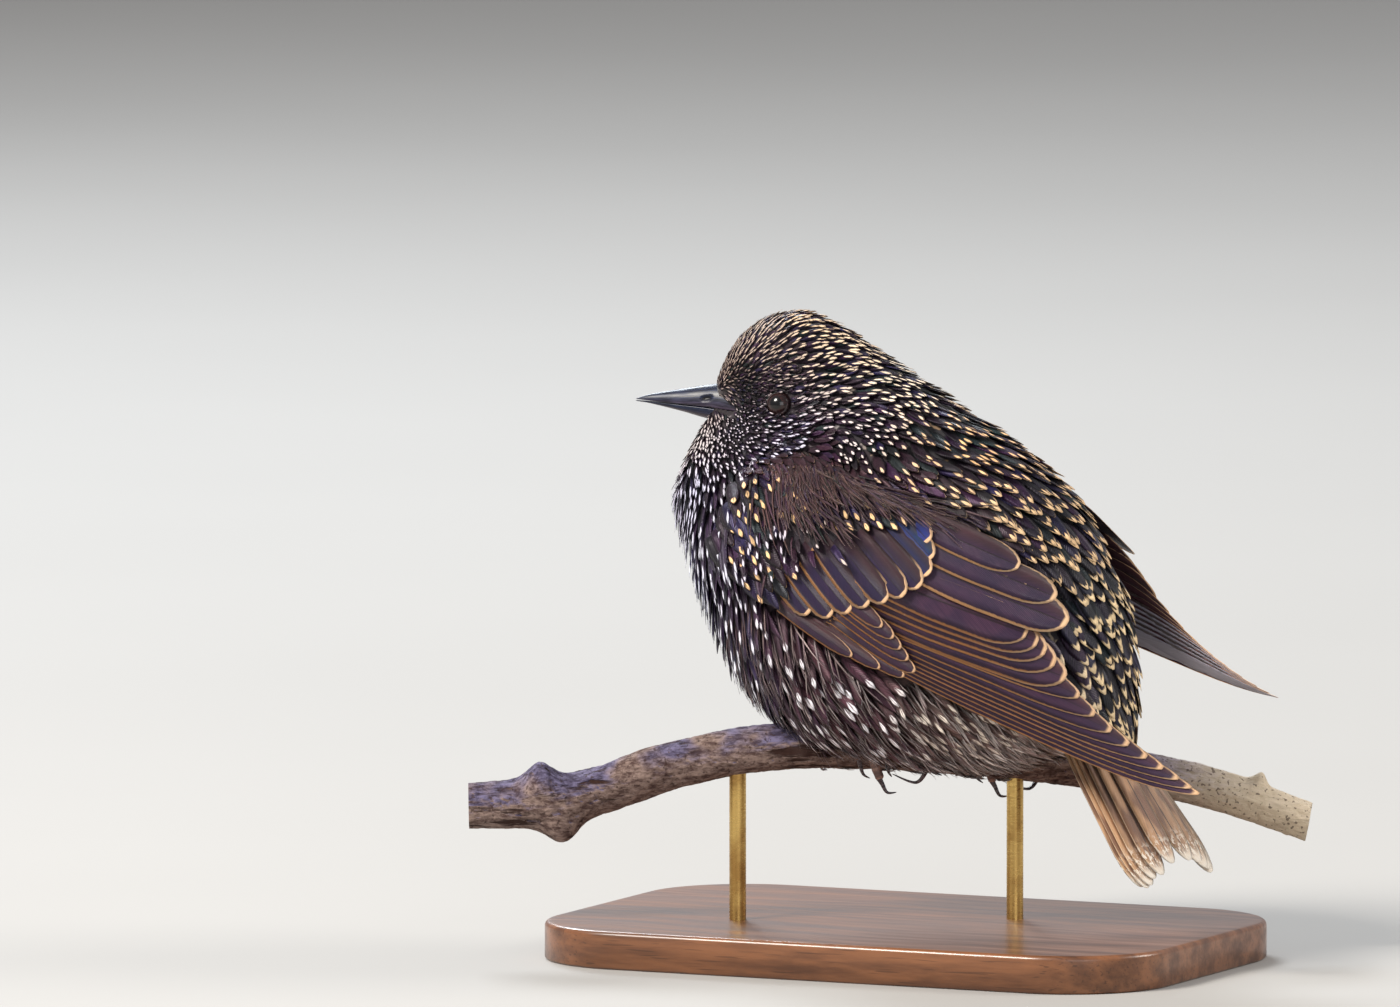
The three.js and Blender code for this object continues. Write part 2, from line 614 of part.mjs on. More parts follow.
// Room that the folded tail takes
function tailRoom(grow) {
  const face = (height) => TAIL_ROOM.map(({ run, half }, i) => {
    const end = i === 0 ? -grow : i === TAIL_ROOM.length - 1 ? grow : 0;
    return [-1, 0, 1].map((j) => tailPoint(run + end, j * (half + grow), height));
  });
  return sheet(face(TAIL_HIGH + grow), face(TAIL_LOW - grow));
}

// Tail feathers: the middle pair on top, each next one out lies under it; the two halves part at the tips
function tailVane(side, order) {
  const outward = order / (TAIL_PAIRS - 1);
  const length = TAIL_MIDDLE_LENGTH + (TAIL_OUTER_LENGTH - TAIL_MIDDLE_LENGTH) * Math.sin(outward * Math.PI * 0.62);
  const rootAcross = side * (1.2 + 5.5 * outward);
  const tipAcross = side * (TAIL_SPLIT + (TAIL_HALF_WIDTH - TAIL_SPLIT) * outward);
  const top = TAIL_HIGH - TAIL_STEP * (2 * order + (side > 0 ? 1 : 0));
  const row = (f, thick) => [-1, 1].map((j) => {
    const past = Math.max(0, (f - TAIL_STRAIGHT) / (1 - TAIL_STRAIGHT));
    const half = TAIL_VANE_HALF * (0.45 + 0.55 * smoothstep(f, 0, 0.6)) * Math.sqrt(1.03 - past * past);
    const across = rootAcross + (tipAcross - rootAcross) * f ** 0.8;
    return tailPoint(f * length, across + half * j, top - thick);
  });
  const stations = [0, 0.3, 0.6, TAIL_STRAIGHT, 0.93, 0.98, 1];
  return sheet(stations.map((f) => row(f, 0)), stations.map((f) => row(f, VANE_THICKNESS)));
}

function tailSolid() {
  const root = tailRootBlock();
  const vanes = Array.from({ length: TAIL_PAIRS }, (_, order) => [tailVane(-1, order), tailVane(1, order)]);
  return joined([root, ...vanes.flat()]);
}

// Flesh that holds the tail feathers together at their roots
function tailRootBlock() {
  const face = (height) => [0.5, 12].map((run) => [-1, 0, 1].map((j) => tailPoint(run, 9 * j, height)));
  return sheet(face(TAIL_HIGH - 0.1), face(TAIL_LOW + 0.1));
}

// Perch
const perchAlong = new THREE.Vector3(Math.cos(PERCH_HEADING), Math.sin(PERCH_HEADING), 0);
const perchNear = new THREE.Vector3(Math.sin(PERCH_HEADING), -Math.cos(PERCH_HEADING), 0);

function perchPlace(along, out, up) {
  return new THREE.Vector3(0, 0, up).addScaledVector(perchAlong, along).addScaledVector(perchNear, out);
}

const perchValue = (along, key) => between(PERCH_STATIONS, indexAt(PERCH_STATIONS, 'along', along), key);

// How far bark lies from the centre line, with the knots; turn is 0 on top and grows to the near side
function perchRadius(along, turn) {
  let radius = PERCH_RADIUS * perchValue(along, 'girth') * (1 + 0.025 * Math.sin(3 * turn + along * 0.11));
  for (const knot of PERCH_KNOTS) {
    const away = (along - knot.along) / knot.spread;
    const apart = Math.cos(turn - THREE.MathUtils.degToRad(knot.turn)) - 1;
    const wide = 1 - Math.cos(THREE.MathUtils.degToRad(knot.width));
    radius += knot.height * Math.exp(-away * away) * Math.exp(apart / wide);
  }
  return radius;
}

function perchSolid(grow) {
  const first = PERCH_STATIONS[0].along;
  const last = PERCH_STATIONS.at(-1).along;
  const rings = Array.from({ length: PERCH_RINGS + 1 }, (_, i) => {
    const along = first + (last - first) * i / PERCH_RINGS;
    const slope = Math.atan2(perchValue(along + 0.5, 'up') - perchValue(along - 0.5, 'up'), 1);
    const [middleUp, middleOut] = [perchValue(along, 'up'), -perchValue(along, 'back')];
    return Array.from({ length: PERCH_SIDES }, (_, j) => {
      const turn = (2 * Math.PI * j) / PERCH_SIDES;
      const radius = perchRadius(along, turn) + grow;
      const rise = radius * Math.cos(turn);
      const out = middleOut + radius * Math.sin(turn);
      return perchPlace(along - rise * Math.sin(slope), out, middleUp + rise * Math.cos(slope));
    });
  });
  return loft(rings);
}

// Legs: side -1 is the left one, on the near side of the perch; the right one stands farther along
function footPlace(side, [along, out, up]) {
  if (side < 0) return perchPlace(along, out, up);
  const shifted = along + RIGHT_FOOT_SHIFT;
  const drop = perchValue(shifted, 'up') - perchValue(along, 'up');
  return perchPlace(shifted, -out - perchValue(shifted, 'back'), up + drop);
}

function legSolid(side, grow) {
  const tarsus = rodThrough(
    [FOOT_BASE, TARSUS_TOP].map((p) => footPlace(side, [p.along, p.out, p.up])),
    () => TARSUS_RADIUS + grow, 2, 7,
  );
  const toes = Object.values(TOES).map(({ path }) => rodThrough(
    path.map((p) => footPlace(side, p)),
    (f) => (TOE_RADIUS + grow) * (1 - 0.18 * f) * (f > 0.99 ? 0.75 : 1), 5, 6,
  ));
  return joined([tarsus, ...toes]);
}

function clawSolid(side, toe, grow) {
  return rodThrough(
    TOES[toe].claw.map((p) => footPlace(side, p)),
    (f) => CLAW_RADIUS * (1 - f) ** 0.8 + 0.12 + grow, 5, 5,
  );
}

// Stand
function roundedPlate() {
  const { length, width, height, corner, chamfer } = BASE_SIZE;
  const [x, y] = [length / 2 - chamfer, width / 2 - chamfer];
  const outline = new THREE.Shape();
  outline.moveTo(-x + corner, -y).lineTo(x - corner, -y).absarc(x - corner, -y + corner, corner, -Math.PI / 2, 0);
  outline.lineTo(x, y - corner).absarc(x - corner, y - corner, corner, 0, Math.PI / 2);
  outline.lineTo(-x + corner, y).absarc(-x + corner, y - corner, corner, Math.PI / 2, Math.PI);
  outline.lineTo(-x, -y + corner).absarc(-x + corner, -y + corner, corner, Math.PI, 1.5 * Math.PI);
  const plate = new THREE.ExtrudeGeometry(outline, {
    depth: height - 2 * chamfer, bevelThickness: chamfer, bevelSize: chamfer, bevelSegments: 1, curveSegments: 5,
  });
  plate.translate(0, 0, chamfer);
  return fromGeometry(plate);
}

function rodSolid(along, grow) {
  const foot = BASE_SIZE.height - ROD_SINK - grow;
  const head = perchValue(along, 'up') - 1 + grow;
  const rod = new THREE.CylinderGeometry(ROD_RADIUS + grow, ROD_RADIUS + grow, head - foot, 16);
  rod.rotateX(Math.PI / 2);
  const place = perchPlace(along, -perchValue(along, 'back'), (head + foot) / 2);
  rod.translate(place.x, place.y, place.z);
  return fromGeometry(rod);
}

// Assembly
const model = new THREE.Group();

function addPart(name, solid, colour, roughness = 0.7, metalness = 0) {
  const mesh = largest(solid).getMesh();
  const geometry = new THREE.BufferGeometry();
  geometry.setAttribute('position', new THREE.BufferAttribute(new Float32Array(mesh.vertProperties), 3));
  geometry.setIndex(new THREE.BufferAttribute(new Uint32Array(mesh.triVerts), 1));
  geometry.computeVertexNormals();
  const part = new THREE.Mesh(geometry, new THREE.MeshStandardMaterial({ color: colour, roughness, metalness }));
  part.name = name;
  model.add(part);
}

const SIDES = { left: -1, right: 1 };
const rods = joined(ROD_ALONG.map((along) => rodSolid(along, GAP)));
addPart('stand_base', roundedPlate().subtract(rods), COLOURS.wood, 0.45);
ROD_ALONG.forEach((along, i) => addPart(`stand_rod_${i + 1}`, rodSolid(along, 0), COLOURS.rod, 0.3, 1));
addPart('perch', perchSolid(0).subtract(rods), COLOURS.bark, 0.9);

const bills = joined([billHalf(true, GAP), billHalf(false, GAP)]);
addPart('bill_upper', billHalf(true, 0).subtract(joined(Object.values(SIDES).map(nostril))), COLOURS.bill, 0.35);
addPart('bill_lower', billHalf(false, 0), COLOURS.bill, 0.35);

// Everything set in the plumage leaves its own room there
const settings = [perchSolid(GAP), tailRoom(GAP), rods];
for (const [name, side] of Object.entries(SIDES)) {
  addPart(`eye_${name}`, eyeBall(side, 0), COLOURS.eye, 0.1);
  addPart(`wing_${name}`, wingSolid(side), COLOURS.wing, 0.6);
  addPart(`leg_${name}`, legSolid(side, 0), COLOURS.leg, 0.7);
  settings.push(wingRoom(side, WING_INSIDE - GAP, WING_OUTSIDE, GAP), legSolid(side, GAP));
  for (const toe of Object.keys(TOES)) {
    addPart(`claw_${name}_${toe}`, clawSolid(side, toe, 0), COLOURS.claw, 0.4);
    settings.push(clawSolid(side, toe, GAP));
  }
}
addPart('tail', tailSolid(), COLOURS.tail, 0.6);

const plumage = bodySolid().subtract(joined(settings));
const eyes = joined(Object.values(SIDES).map((side) => eyeBall(side, GAP)));
const lids = joined(Object.values(SIDES).map(lidRing));
const head = plumage.subtract(blockBehind(HEAD_LINE, 0)).add(lids).subtract(bills).subtract(eyes);
addPart('head', head, COLOURS.face, 0.85);
const neck = plumage.intersect(blockBehind(HEAD_LINE, GAP)).subtract(blockBehind(NECK_LINE, 0));
addPart('neck', neck, COLOURS.plumage);
addPart('torso', plumage.intersect(blockBehind(NECK_LINE, GAP)), COLOURS.plumage);

export default model;
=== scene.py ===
# A starling in winter plumage, fluffed up on a cut branch over a small display base.
# Shapes are worked out in millimetres, as the part states them, and put in metres when a mesh is made.
import bmesh
import bpy
import numpy as np
from mathutils import Matrix, Vector


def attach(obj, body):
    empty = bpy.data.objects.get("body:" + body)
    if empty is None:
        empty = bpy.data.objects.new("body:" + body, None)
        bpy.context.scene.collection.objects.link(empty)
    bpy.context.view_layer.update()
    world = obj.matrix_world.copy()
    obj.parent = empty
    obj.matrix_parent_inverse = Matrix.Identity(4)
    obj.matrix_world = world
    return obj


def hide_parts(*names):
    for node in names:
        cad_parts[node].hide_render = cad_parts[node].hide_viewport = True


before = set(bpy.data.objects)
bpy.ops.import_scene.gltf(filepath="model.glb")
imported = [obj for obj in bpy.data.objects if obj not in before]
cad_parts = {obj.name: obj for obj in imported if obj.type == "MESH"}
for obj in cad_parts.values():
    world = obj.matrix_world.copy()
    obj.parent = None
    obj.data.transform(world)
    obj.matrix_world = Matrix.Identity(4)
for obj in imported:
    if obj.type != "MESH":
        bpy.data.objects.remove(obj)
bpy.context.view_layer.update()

MM = 0.001
RANDOM = np.random.default_rng(41)
UPRIGHT = np.array([0, 0, 1.0])
SIDES = (("left", -1), ("right", 1))

# Plumage sections from the bill to the end of the rump:
# highest point (x, z), lowest point (x, z), half width of the upper and of the lower part
BODY_SECTIONS = np.array([
    (-48.5, 132.0, -48.5, 131.0, 0.1, 0.1),
    (-46.5, 139.0, -48.5, 125.5, 6.0, 6.5),
    (-41.0, 148.0, -51.0, 121.0, 9.5, 11.0),
    (-33.0, 153.0, -55.0, 115.0, 12.0, 16.5),
    (-23.5, 153.3, -57.0, 107.0, 13.5, 23.5),
    (-13.5, 148.5, -54.5, 97.0, 15.0, 30.0),
    (-3.0, 142.0, -50.0, 86.0, 20.0, 35.5),
    (10.0, 134.0, -44.0, 73.0, 29.0, 39.5),
    (23.5, 126.3, -35.5, 60.5, 36.0, 41.0),
    (36.0, 117.5, -21.0, 50.5, 37.5, 41.0),
    (46.0, 107.0, -1.0, 46.5, 35.5, 38.0),
    (52.5, 95.0, 18.0, 45.5, 30.5, 32.0),
    (55.8, 83.0, 31.0, 47.0, 24.5, 26.0),
    (57.2, 72.0, 40.0, 50.0, 19.5, 20.0),
    (58.0, 62.0, 47.5, 51.5, 14.0, 13.0),
    (58.5, 55.0, 57.0, 54.0, 4.0, 4.0),
])
LAST_SECTION = len(BODY_SECTIONS) - 1.05
HEAD_TURN = np.radians(10)
HEAD_PIVOT_X = -16
HEAD_LINE = (2, 139.5, -53, 112)
TURN_FADE = 22
BILL_ROOT = (-44.4, 131.3)
FACE_PINCH = 0.6
FACE_PINCH_SPREAD = 6

# Bill stations: ahead of the root, culmen, mouth line and lower edge above the root, half width
BILL_STATIONS = np.array([
    (-4.2, 3.6, -2.0, -4.6, 5.0),
    (1.5, 4.5, -1.3, -4.6, 4.1),
    (6.0, 4.0, -0.9, -3.8, 3.3),
    (11.0, 3.1, -0.6, -2.5, 2.5),
    (16.0, 2.2, -0.3, -1.4, 1.6),
    (20.0, 1.4, -0.05, -0.6, 0.95),
    (22.9, 0.45, 0.1, -0.25, 0.3),
])
BILL_TIP = 23.15
BILL_SLIT = 0.15
# Nostril: ahead, up, half length, half height and depth
NOSTRIL = (4.8, 1.15, 1.25, 0.42, 0.8)
EYE_SECTION = 4.78
EYE_ANGLE = np.radians(71)
EYE_SINK = 1.7
EYE_RADIUS = 3.1
LID_RADIUS = 2.32
LID_THICK = 0.34

# Folded wing: its leading edge from the bend to the tip, bow, roll and roundness
WING_START = np.array([-29.0, -37.5, 92.0])
WING_TIP = np.array([84.5, -20.0, 47.0])
WING_BOW_OUT = 8.8
WING_BOW_DOWN = 4.5
WING_ROLL = (-2.5, -1.5, 60)
WING_ROUND = (37.5, 82, 60)
WING_TUCK = (6, 20, 44)
RIGHT_WING_ROLL = np.radians(8)
RIGHT_WING_LIFT = np.radians(9.6)
RIGHT_WING_CLOSE = np.radians(2.7)

TAIL_ROOT = np.array([34.6, 0.0, 79.6])
TAIL_SLOPE = np.radians(56.9)
TAIL_ALONG = np.array([np.cos(TAIL_SLOPE), 0, -np.sin(TAIL_SLOPE)])
TAIL_UP = np.array([np.sin(TAIL_SLOPE), 0, np.cos(TAIL_SLOPE)])
TAIL_HIGH = 2.3
TAIL_LOW = -2.41

PERCH_HEADING = np.radians(25)
PERCH_AHEAD = np.array([np.cos(PERCH_HEADING), np.sin(PERCH_HEADING), 0])
PERCH_NEAR = np.array([np.sin(PERCH_HEADING), -np.cos(PERCH_HEADING), 0])
PERCH_RADIUS = 5.4
# Perch stations: along it, up, back, girth
PERCH_STATIONS = np.array([
    (-104, 36.2, 0, 1.0),
    (-86, 37.0, 0, 1.12),
    (-72.5, 40.2, 0, 1.04),
    (-53.5, 46.4, 0, 1.03),
    (-30, 50.4, 0, 1.03),
    (-6, 50.6, 0, 1.0),
    (22, 48.0, 1.5, 0.99),
    (42, 45.4, 6, 0.97),
    (60, 42.4, 8.6, 0.94),
    (76, 38.4, 9, 0.9),
    (96, 31.4, 9, 0.86),
])
# Knots: along, turn from the top in degrees, height, spread along, width in degrees
PERCH_KNOTS = [
    (-86, 15, 4.2, 4.5, 50),
    (-83, 165, 4.0, 4.0, 42),
    (-62, 60, 1.2, 6, 60),
    (82.5, 8, 2.6, 1.8, 28),
]

# Feet, in perch measures: along it, out on the near side of it, and up
FOOT_BASE = (-8, 3.2, 58.0)
TARSUS_TOP = (-3, 3.8, 69)
TARSUS_RADIUS = 1.3
TOE_RADIUS = 1.15
CLAW_RADIUS = 0.82
RIGHT_FOOT_SHIFT = 27
# Each toe: the joints of the toe and those of its claw
TOES = {
    "inner": (
        [(-8.5, 3.4, 57.6), (-11.6, 5.6, 55.2), (-11.8, 7.2, 51.4), (-11.2, 6.9, 48.2)],
        [(-11.0, 6.7, 47.2), (-10.2, 6.0, 44.6), (-8.6, 4.6, 43.4)],
    ),
    "middle": (
        [(-8.5, 3.6, 57.6), (-8.8, 6.4, 54.6), (-8.2, 7.4, 49.6), (-6.1, 7.4, 43.4)],
        [(-5.75, 7.35, 42.5), (-4.5, 7.0, 40.3), (-2.3, 6.8, 40.3)],
    ),
    "outer": (
        [(-7.6, 3.6, 57.6), (-4.4, 6.0, 55.0), (-4.0, 7.3, 51.4), (-4.4, 7.2, 48.4)],
        [(-4.5, 7.0, 47.4), (-4.2, 6.4, 45.2), (-3.4, 5.0, 43.8)],
    ),
    "hallux": (
        [(-7.4, 3.4, 57.4), (0.6, 5.9, 55.4), (5.2, 7.3, 51.6), (5.3, 7.1, 47.2)],
        [(5.2, 6.9, 46.1), (2.4, 4.6, 42.4), (-3.3, 1.6, 44.1)],
    ),
}

# Base: length, width, height, corner radius, rounding of its top edge
BASE_SIZE = (160, 104, 9, 26, 1.2)
ROD_ALONG = (-40, 26)
ROD_RADIUS = 2
ROD_SINK = 4.5


def smooth(value, low, high):
    """Smooth step from 0 at low to 1 at high."""
    share = np.clip((np.asarray(value, float) - low) / (high - low), 0, 1)
    return share * share * (3 - 2 * share)


def bump(value, low, high, fade):
    """1 between low and high, fading to 0 over the fade on either side."""
    return smooth(value, low - fade, low + fade) * (1 - smooth(value, high - fade, high + fade))


def between(stations, index, column):
    """Catmull-Rom value of one column of the stations at fractional indices."""
    index = np.asarray(index, float)
    last = len(stations) - 1
    i = np.clip(np.floor(index).astype(int), 0, last - 1)
    f = index - i
    a, b, c, d = (stations[np.clip(i + k, 0, last), column] for k in (-1, 0, 1, 2))
    bent = (2 * a - 5 * b + 4 * c - d) * f ** 2 + (3 * b - a - 3 * c + d) * f ** 3
    return 0.5 * (2 * b + (c - a) * f + bent)


def through(values, q):
    """Quadratic through a start, a middle and an end value."""
    start, middle, end = values
    return start * (1 - q) * (1 - 2 * q) + middle * 4 * q * (1 - q) + end * q * (2 * q - 1)


def unit(vectors):
    """Vectors scaled to length 1."""
    return vectors / (np.linalg.norm(vectors, axis=-1, keepdims=True) + 1e-12)


def floats(*values):
    """Values as arrays of floats, spread to one shape."""
    return np.broadcast_arrays(*(np.asarray(v, float) for v in values))


def stacked(*values):
    """Values spread to one shape and set side by side on a last axis."""
    return np.stack(np.broadcast_arrays(*values), -1)


def full_turn(count):
    """Angles evenly round a full turn."""
    return np.linspace(0, 2 * np.pi, count, endpoint=False)


def turn_about(points, axis, angle):
    """Points turned about an axis through the origin (Rodrigues' formula)."""
    axis = np.asarray(axis, float)
    along = (points @ axis)[..., None] * axis
    return points * np.cos(angle) + np.cross(axis, points) * np.sin(angle) + along * (1 - np.cos(angle))


def linear(red, green, blue):
    """Linear colour of a screen colour from 0 to 255."""
    screen = np.array([red, green, blue]) / 255
    return np.where(screen <= 0.04045, screen / 12.92, ((screen + 0.055) / 1.055) ** 2.4)


def opaque(colours):
    """Colours with 1 as their fourth value."""
    return np.concatenate([colours, np.ones(colours.shape[:-1] + (1,))], -1)


# Charts: each gives points in the frame from measures on a part of the bird or the branch

def turn_head(points):
    """Head turned to the bird's left about the neck, fading out below the line from nape to throat."""
    nape_x, nape_z, throat_x, throat_z = HEAD_LINE
    run = unit(np.array([nape_x - throat_x, nape_z - throat_z], float))
    x, y, z = (points[..., k] for k in range(3))
    side = (x - nape_x) * run[1] - (z - nape_z) * run[0]
    angle = HEAD_TURN * (1 - smooth(side, 0, TURN_FADE))
    x = x - HEAD_PIVOT_X
    turned_x = HEAD_PIVOT_X + x * np.cos(angle) - y * np.sin(angle)
    return stacked(turned_x, y * np.cos(angle) + x * np.sin(angle), z)


def body_point(section, angle):
    """Tip surface of the plumage: tilted ovals through the sections; angle 0 on the back, -90 degrees at the left."""
    section, angle = floats(section, angle)
    back_x, back_z, belly_x, belly_z, upper, lower = (between(BODY_SECTIONS, section, k) for k in range(6))
    high = np.cos(angle)
    share = smooth(-high, -0.35, 0.75)
    half = upper * (1 - share) + lower * share
    x = (back_x * (1 + high) + belly_x * (1 - high)) / 2
    z = (back_z * (1 + high) + belly_z * (1 - high)) / 2
    from_bill = np.hypot(x - BILL_ROOT[0], z - BILL_ROOT[1]) / FACE_PINCH_SPREAD
    pinch = 1 - FACE_PINCH * np.exp(-from_bill ** 2 / 2)
    return turn_head(stacked(x, half * np.sin(angle) * pinch, z))


def body_frame(section, angle):
    """Point, unit lie towards the tail and outward normal of the plumage surface."""
    step = 0.02
    lie = unit(body_point(section + step, angle) - body_point(section - step, angle))
    around = unit(body_point(section, angle + step) - body_point(section, angle - step))
    return body_point(section, angle), lie, unit(np.cross(lie, around))


def wing_point(side, run, across, height):
    """Folded wing: a round blade along a bowed leading edge, its upper edge tucked in; the right one is mirrored."""
    run, across, height = floats(run, across, height)
    axis = WING_TIP - WING_START
    chord = np.linalg.norm(axis)
    axis = axis / chord
    out0 = unit(np.cross(axis, UPRIGHT))
    up0 = np.cross(out0, axis)
    q = run / chord
    bow = (4 * q * (1 - q))[..., None]
    roll = np.radians(through(WING_ROLL, q))[..., None]
    radius = through(WING_ROUND, q)
    out = out0 * np.cos(roll) + up0 * np.sin(roll)
    up = up0 * np.cos(roll) - out0 * np.sin(roll)
    angle = across / radius
    lie = radius + height - WING_TUCK[0] * smooth(across, WING_TUCK[1], WING_TUCK[2])
    points = WING_START + axis * run[..., None] + out0 * WING_BOW_OUT * bow - up0 * WING_BOW_DOWN * bow
    points = points + out * (lie * np.cos(angle) - radius)[..., None] + up * (lie * np.sin(angle))[..., None]
    if side < 0:
        return points
    mirror = np.array([1, -1, 1])
    pivot = WING_START * mirror
    points = turn_about(points * mirror - pivot, axis * mirror, RIGHT_WING_ROLL)
    points = turn_about(points, (0, 1, 0), -RIGHT_WING_LIFT)
    return turn_about(points, (0, 0, 1), -RIGHT_WING_CLOSE) + pivot


def tail_point(run, across, height):
    """Tail plane sloping down from under the rump."""
    run, across, height = floats(run, across, height)
    sideways = np.array([0, 1.0, 0])
    return TAIL_ROOT + TAIL_ALONG * run[..., None] + TAIL_UP * height[..., None] + sideways * across[..., None]


def perch_place(along, out, up):
    """Place in perch measures: along its heading, out on its near side, and up."""
    along, out, up = floats(along, out, up)
    return PERCH_AHEAD * along[..., None] + PERCH_NEAR * out[..., None] + UPRIGHT * up[..., None]


PERCH_INDEX = np.linspace(0, len(PERCH_STATIONS) - 1, 400)
PERCH_ALONG = between(PERCH_STATIONS, PERCH_INDEX, 0)
PERCH_RISE, PERCH_BACK, PERCH_GIRTH = 1, 2, 3


def perch_value(along, column):
    """Catmull-Rom value of a perch station column at a distance along it."""
    return between(PERCH_STATIONS, np.interp(along, PERCH_ALONG, PERCH_INDEX), column)


# Mesh making

def grid_quads(rows, columns):
    """Corner indices of the faces of a grid of points that closes round its columns."""
    i = np.arange(rows - 1)[:, None] * columns
    j = np.arange(columns)
    after = (j + 1) % columns
    return np.stack([i + j, i + after, i + columns + after, i + columns + j], -1).reshape(-1, 4)


def build_mesh(name, points, faces, material):
    """Mesh from points in millimetres and arrays of faces, each array with its own number of corners."""
    mesh = bpy.data.meshes.new(name)
    points = np.asarray(points, np.float32).reshape(-1, 3) * MM
    corners = np.concatenate([np.ravel(f) for f in faces]).astype(np.int32)
    totals = np.repeat([np.shape(f)[1] for f in faces], [len(f) for f in faces]).astype(np.int32)
    mesh.vertices.add(len(points))
    mesh.vertices.foreach_set("co", points.ravel())
    mesh.loops.add(len(corners))
    mesh.loops.foreach_set("vertex_index", corners)
    mesh.polygons.add(len(totals))
    mesh.polygons.foreach_set("loop_start", np.append(0, np.cumsum(totals)[:-1]).astype(np.int32))
    mesh.polygons.foreach_set("loop_total", totals)
    mesh.polygons.foreach_set("use_smooth", np.ones(len(totals), bool))
    mesh.update(calc_edges=True)
    mesh.validate()
    mesh.materials.append(material)
    thing = bpy.data.objects.new(name, mesh)
    bpy.context.scene.collection.objects.link(thing)
    return thing


def face_outwards(thing):
    """Faces of a finished mesh all turned outwards."""
    work = bmesh.new()
    work.from_mesh(thing.data)
    bmesh.ops.recalc_face_normals(work, faces=work.faces)
    work.to_mesh(thing.data)
    work.free()


def shell(name, points, material):
    """Closed shell: a grid of points, rows along it and columns round it, with a flat face on either end."""
    rows, columns = points.shape[:2]
    ring = np.arange(columns)
    ends = [ring[None, ::-1], (rows - 1) * columns + ring[None, :]]
    thing = build_mesh(name, points, [grid_quads(rows, columns)] + ends, material)
    face_outwards(thing)
    return thing


def set_uv(thing, name, values):
    """UV map from one (u, v) pair for each point."""
    corners = np.empty(len(thing.data.loops), np.int32)
    thing.data.loops.foreach_get("vertex_index", corners)
    layer = thing.data.uv_layers.new(name=name)
    layer.data.foreach_set("uv", np.asarray(values, np.float32).reshape(-1, 2)[corners].ravel())


def set_values(thing, **values):
    """Point attributes, each a colour where its values have four parts and a vector where they have three."""
    for name, value in values.items():
        kind, field = {4: ("FLOAT_COLOR", "color"), 3: ("FLOAT_VECTOR", "vector")}[value.shape[-1]]
        made = thing.data.attributes.new(name, kind, "POINT")
        made.data.foreach_set(field, np.asarray(value, np.float32).ravel())


def no_relief(run, turn):
    """A tube without relief."""
    return 0


def rounded_tube(name, path, radius, sides, material, flat=1.0, relief=no_relief):
    """Tube along a path: rings of the radius plus a relief by (run, turn), on two axes carried along the path
    without twist, the second one flattened by a factor."""
    tangent = unit(np.gradient(path, axis=0))
    first = np.zeros_like(tangent)
    first[0] = unit(np.cross(tangent[0], [0.3, 0.2, 1.0]))
    for i in range(1, len(path)):
        first[i] = unit(first[i - 1] - tangent[i] * (first[i - 1] @ tangent[i]))
    second = np.cross(tangent, first)
    run = np.linspace(0, 1, len(path))[:, None]
    turn = full_turn(sides)
    size = np.broadcast_to(radius, len(path))[:, None] + relief(run, turn)
    firsts = first[:, None, :] * (size * np.cos(turn))[..., None]
    seconds = second[:, None, :] * (size * np.sin(turn) * flat)[..., None]
    thing = shell(name, path[:, None, :] + firsts + seconds, material)
    set_uv(thing, "Length", stacked(np.linspace(0, 1, sides), run))
    return thing


def curve_through(points, count):
    """Catmull-Rom curve through a few points, sampled at even indices."""
    points = np.asarray(points, float)
    index = np.linspace(0, len(points) - 1, count)
    return stacked(*(between(points, index, k) for k in range(3)))


# Vanes: all feathers of a piece are worked out together

COLUMNS_FINE = np.array([-1, -0.5, 0, 0.5, 1.0])
COLUMNS_PLAIN = np.array([-1, 0, 1.0])


def vane_mesh(name, centres, sides, normals, half, thickness, camber, columns, stations, material, looks, patch):
    """Closed feather blades. Each row of a blade has points across it at centre + side * u * half,
    dropped at the edges by camber * half * u squared, and the same points again one thickness under.
    stations are the rows' shares of the length, thickness has one value for each row, looks holds each blade's
    colours and marks, and patch the place and size of each blade on the unwrap of its skin."""
    count, rows = half.shape
    under = columns[1:-1][::-1]
    across = np.concatenate([columns, under])
    drop = np.concatenate([0 * columns, 0 * under + 1])
    ring = len(across)
    reach = half[..., None] * across
    fall = camber * half[..., None] * across ** 2 + thickness[:, None] * drop
    points = centres[:, :, None] + sides[:, :, None] * reach[..., None] - normals[:, :, None] * fall[..., None]
    start = (np.arange(count) * rows * ring)[:, None]
    quads = (grid_quads(rows, ring) + start[..., None]).reshape(-1, 4)
    faces = [quads, np.arange(ring)[::-1] + start, np.arange(ring) + start + (rows - 1) * ring]
    outward = np.sum(np.cross(sides[:, 0], centres[:, 1] - centres[:, 0]) * normals[:, 0])
    thing = build_mesh(name, points, [f[:, ::1 if outward > 0 else -1] for f in faces], material)

    def spread(values):
        return np.broadcast_to(values, (count, rows, ring, values.shape[-1]))

    v = stations[:, None]
    chart = spread(stacked((across + 1) / 2, v))
    set_uv(thing, "Vane", chart)
    place, size = (patch[key][:, None, None, :] for key in ("place", "size"))
    set_uv(thing, "OFBake", place + size * (chart - 0.5))
    rim = (1 - np.abs(across)) * half[..., None] / half.max(axis=1)[:, None, None]
    rim = np.minimum(rim, (1 - v) * 2.2)
    fringe, chance = (looks[key][:, None, None] for key in ("fringe", "chance"))
    set_values(thing, edge=stacked(rim, fringe, chance * (1 - 2 * drop)))
    set_values(thing, **{key: spread(looks[key][:, None, None, :]) for key in ("dark", "pale", "mark")})
    return thing


# Materials

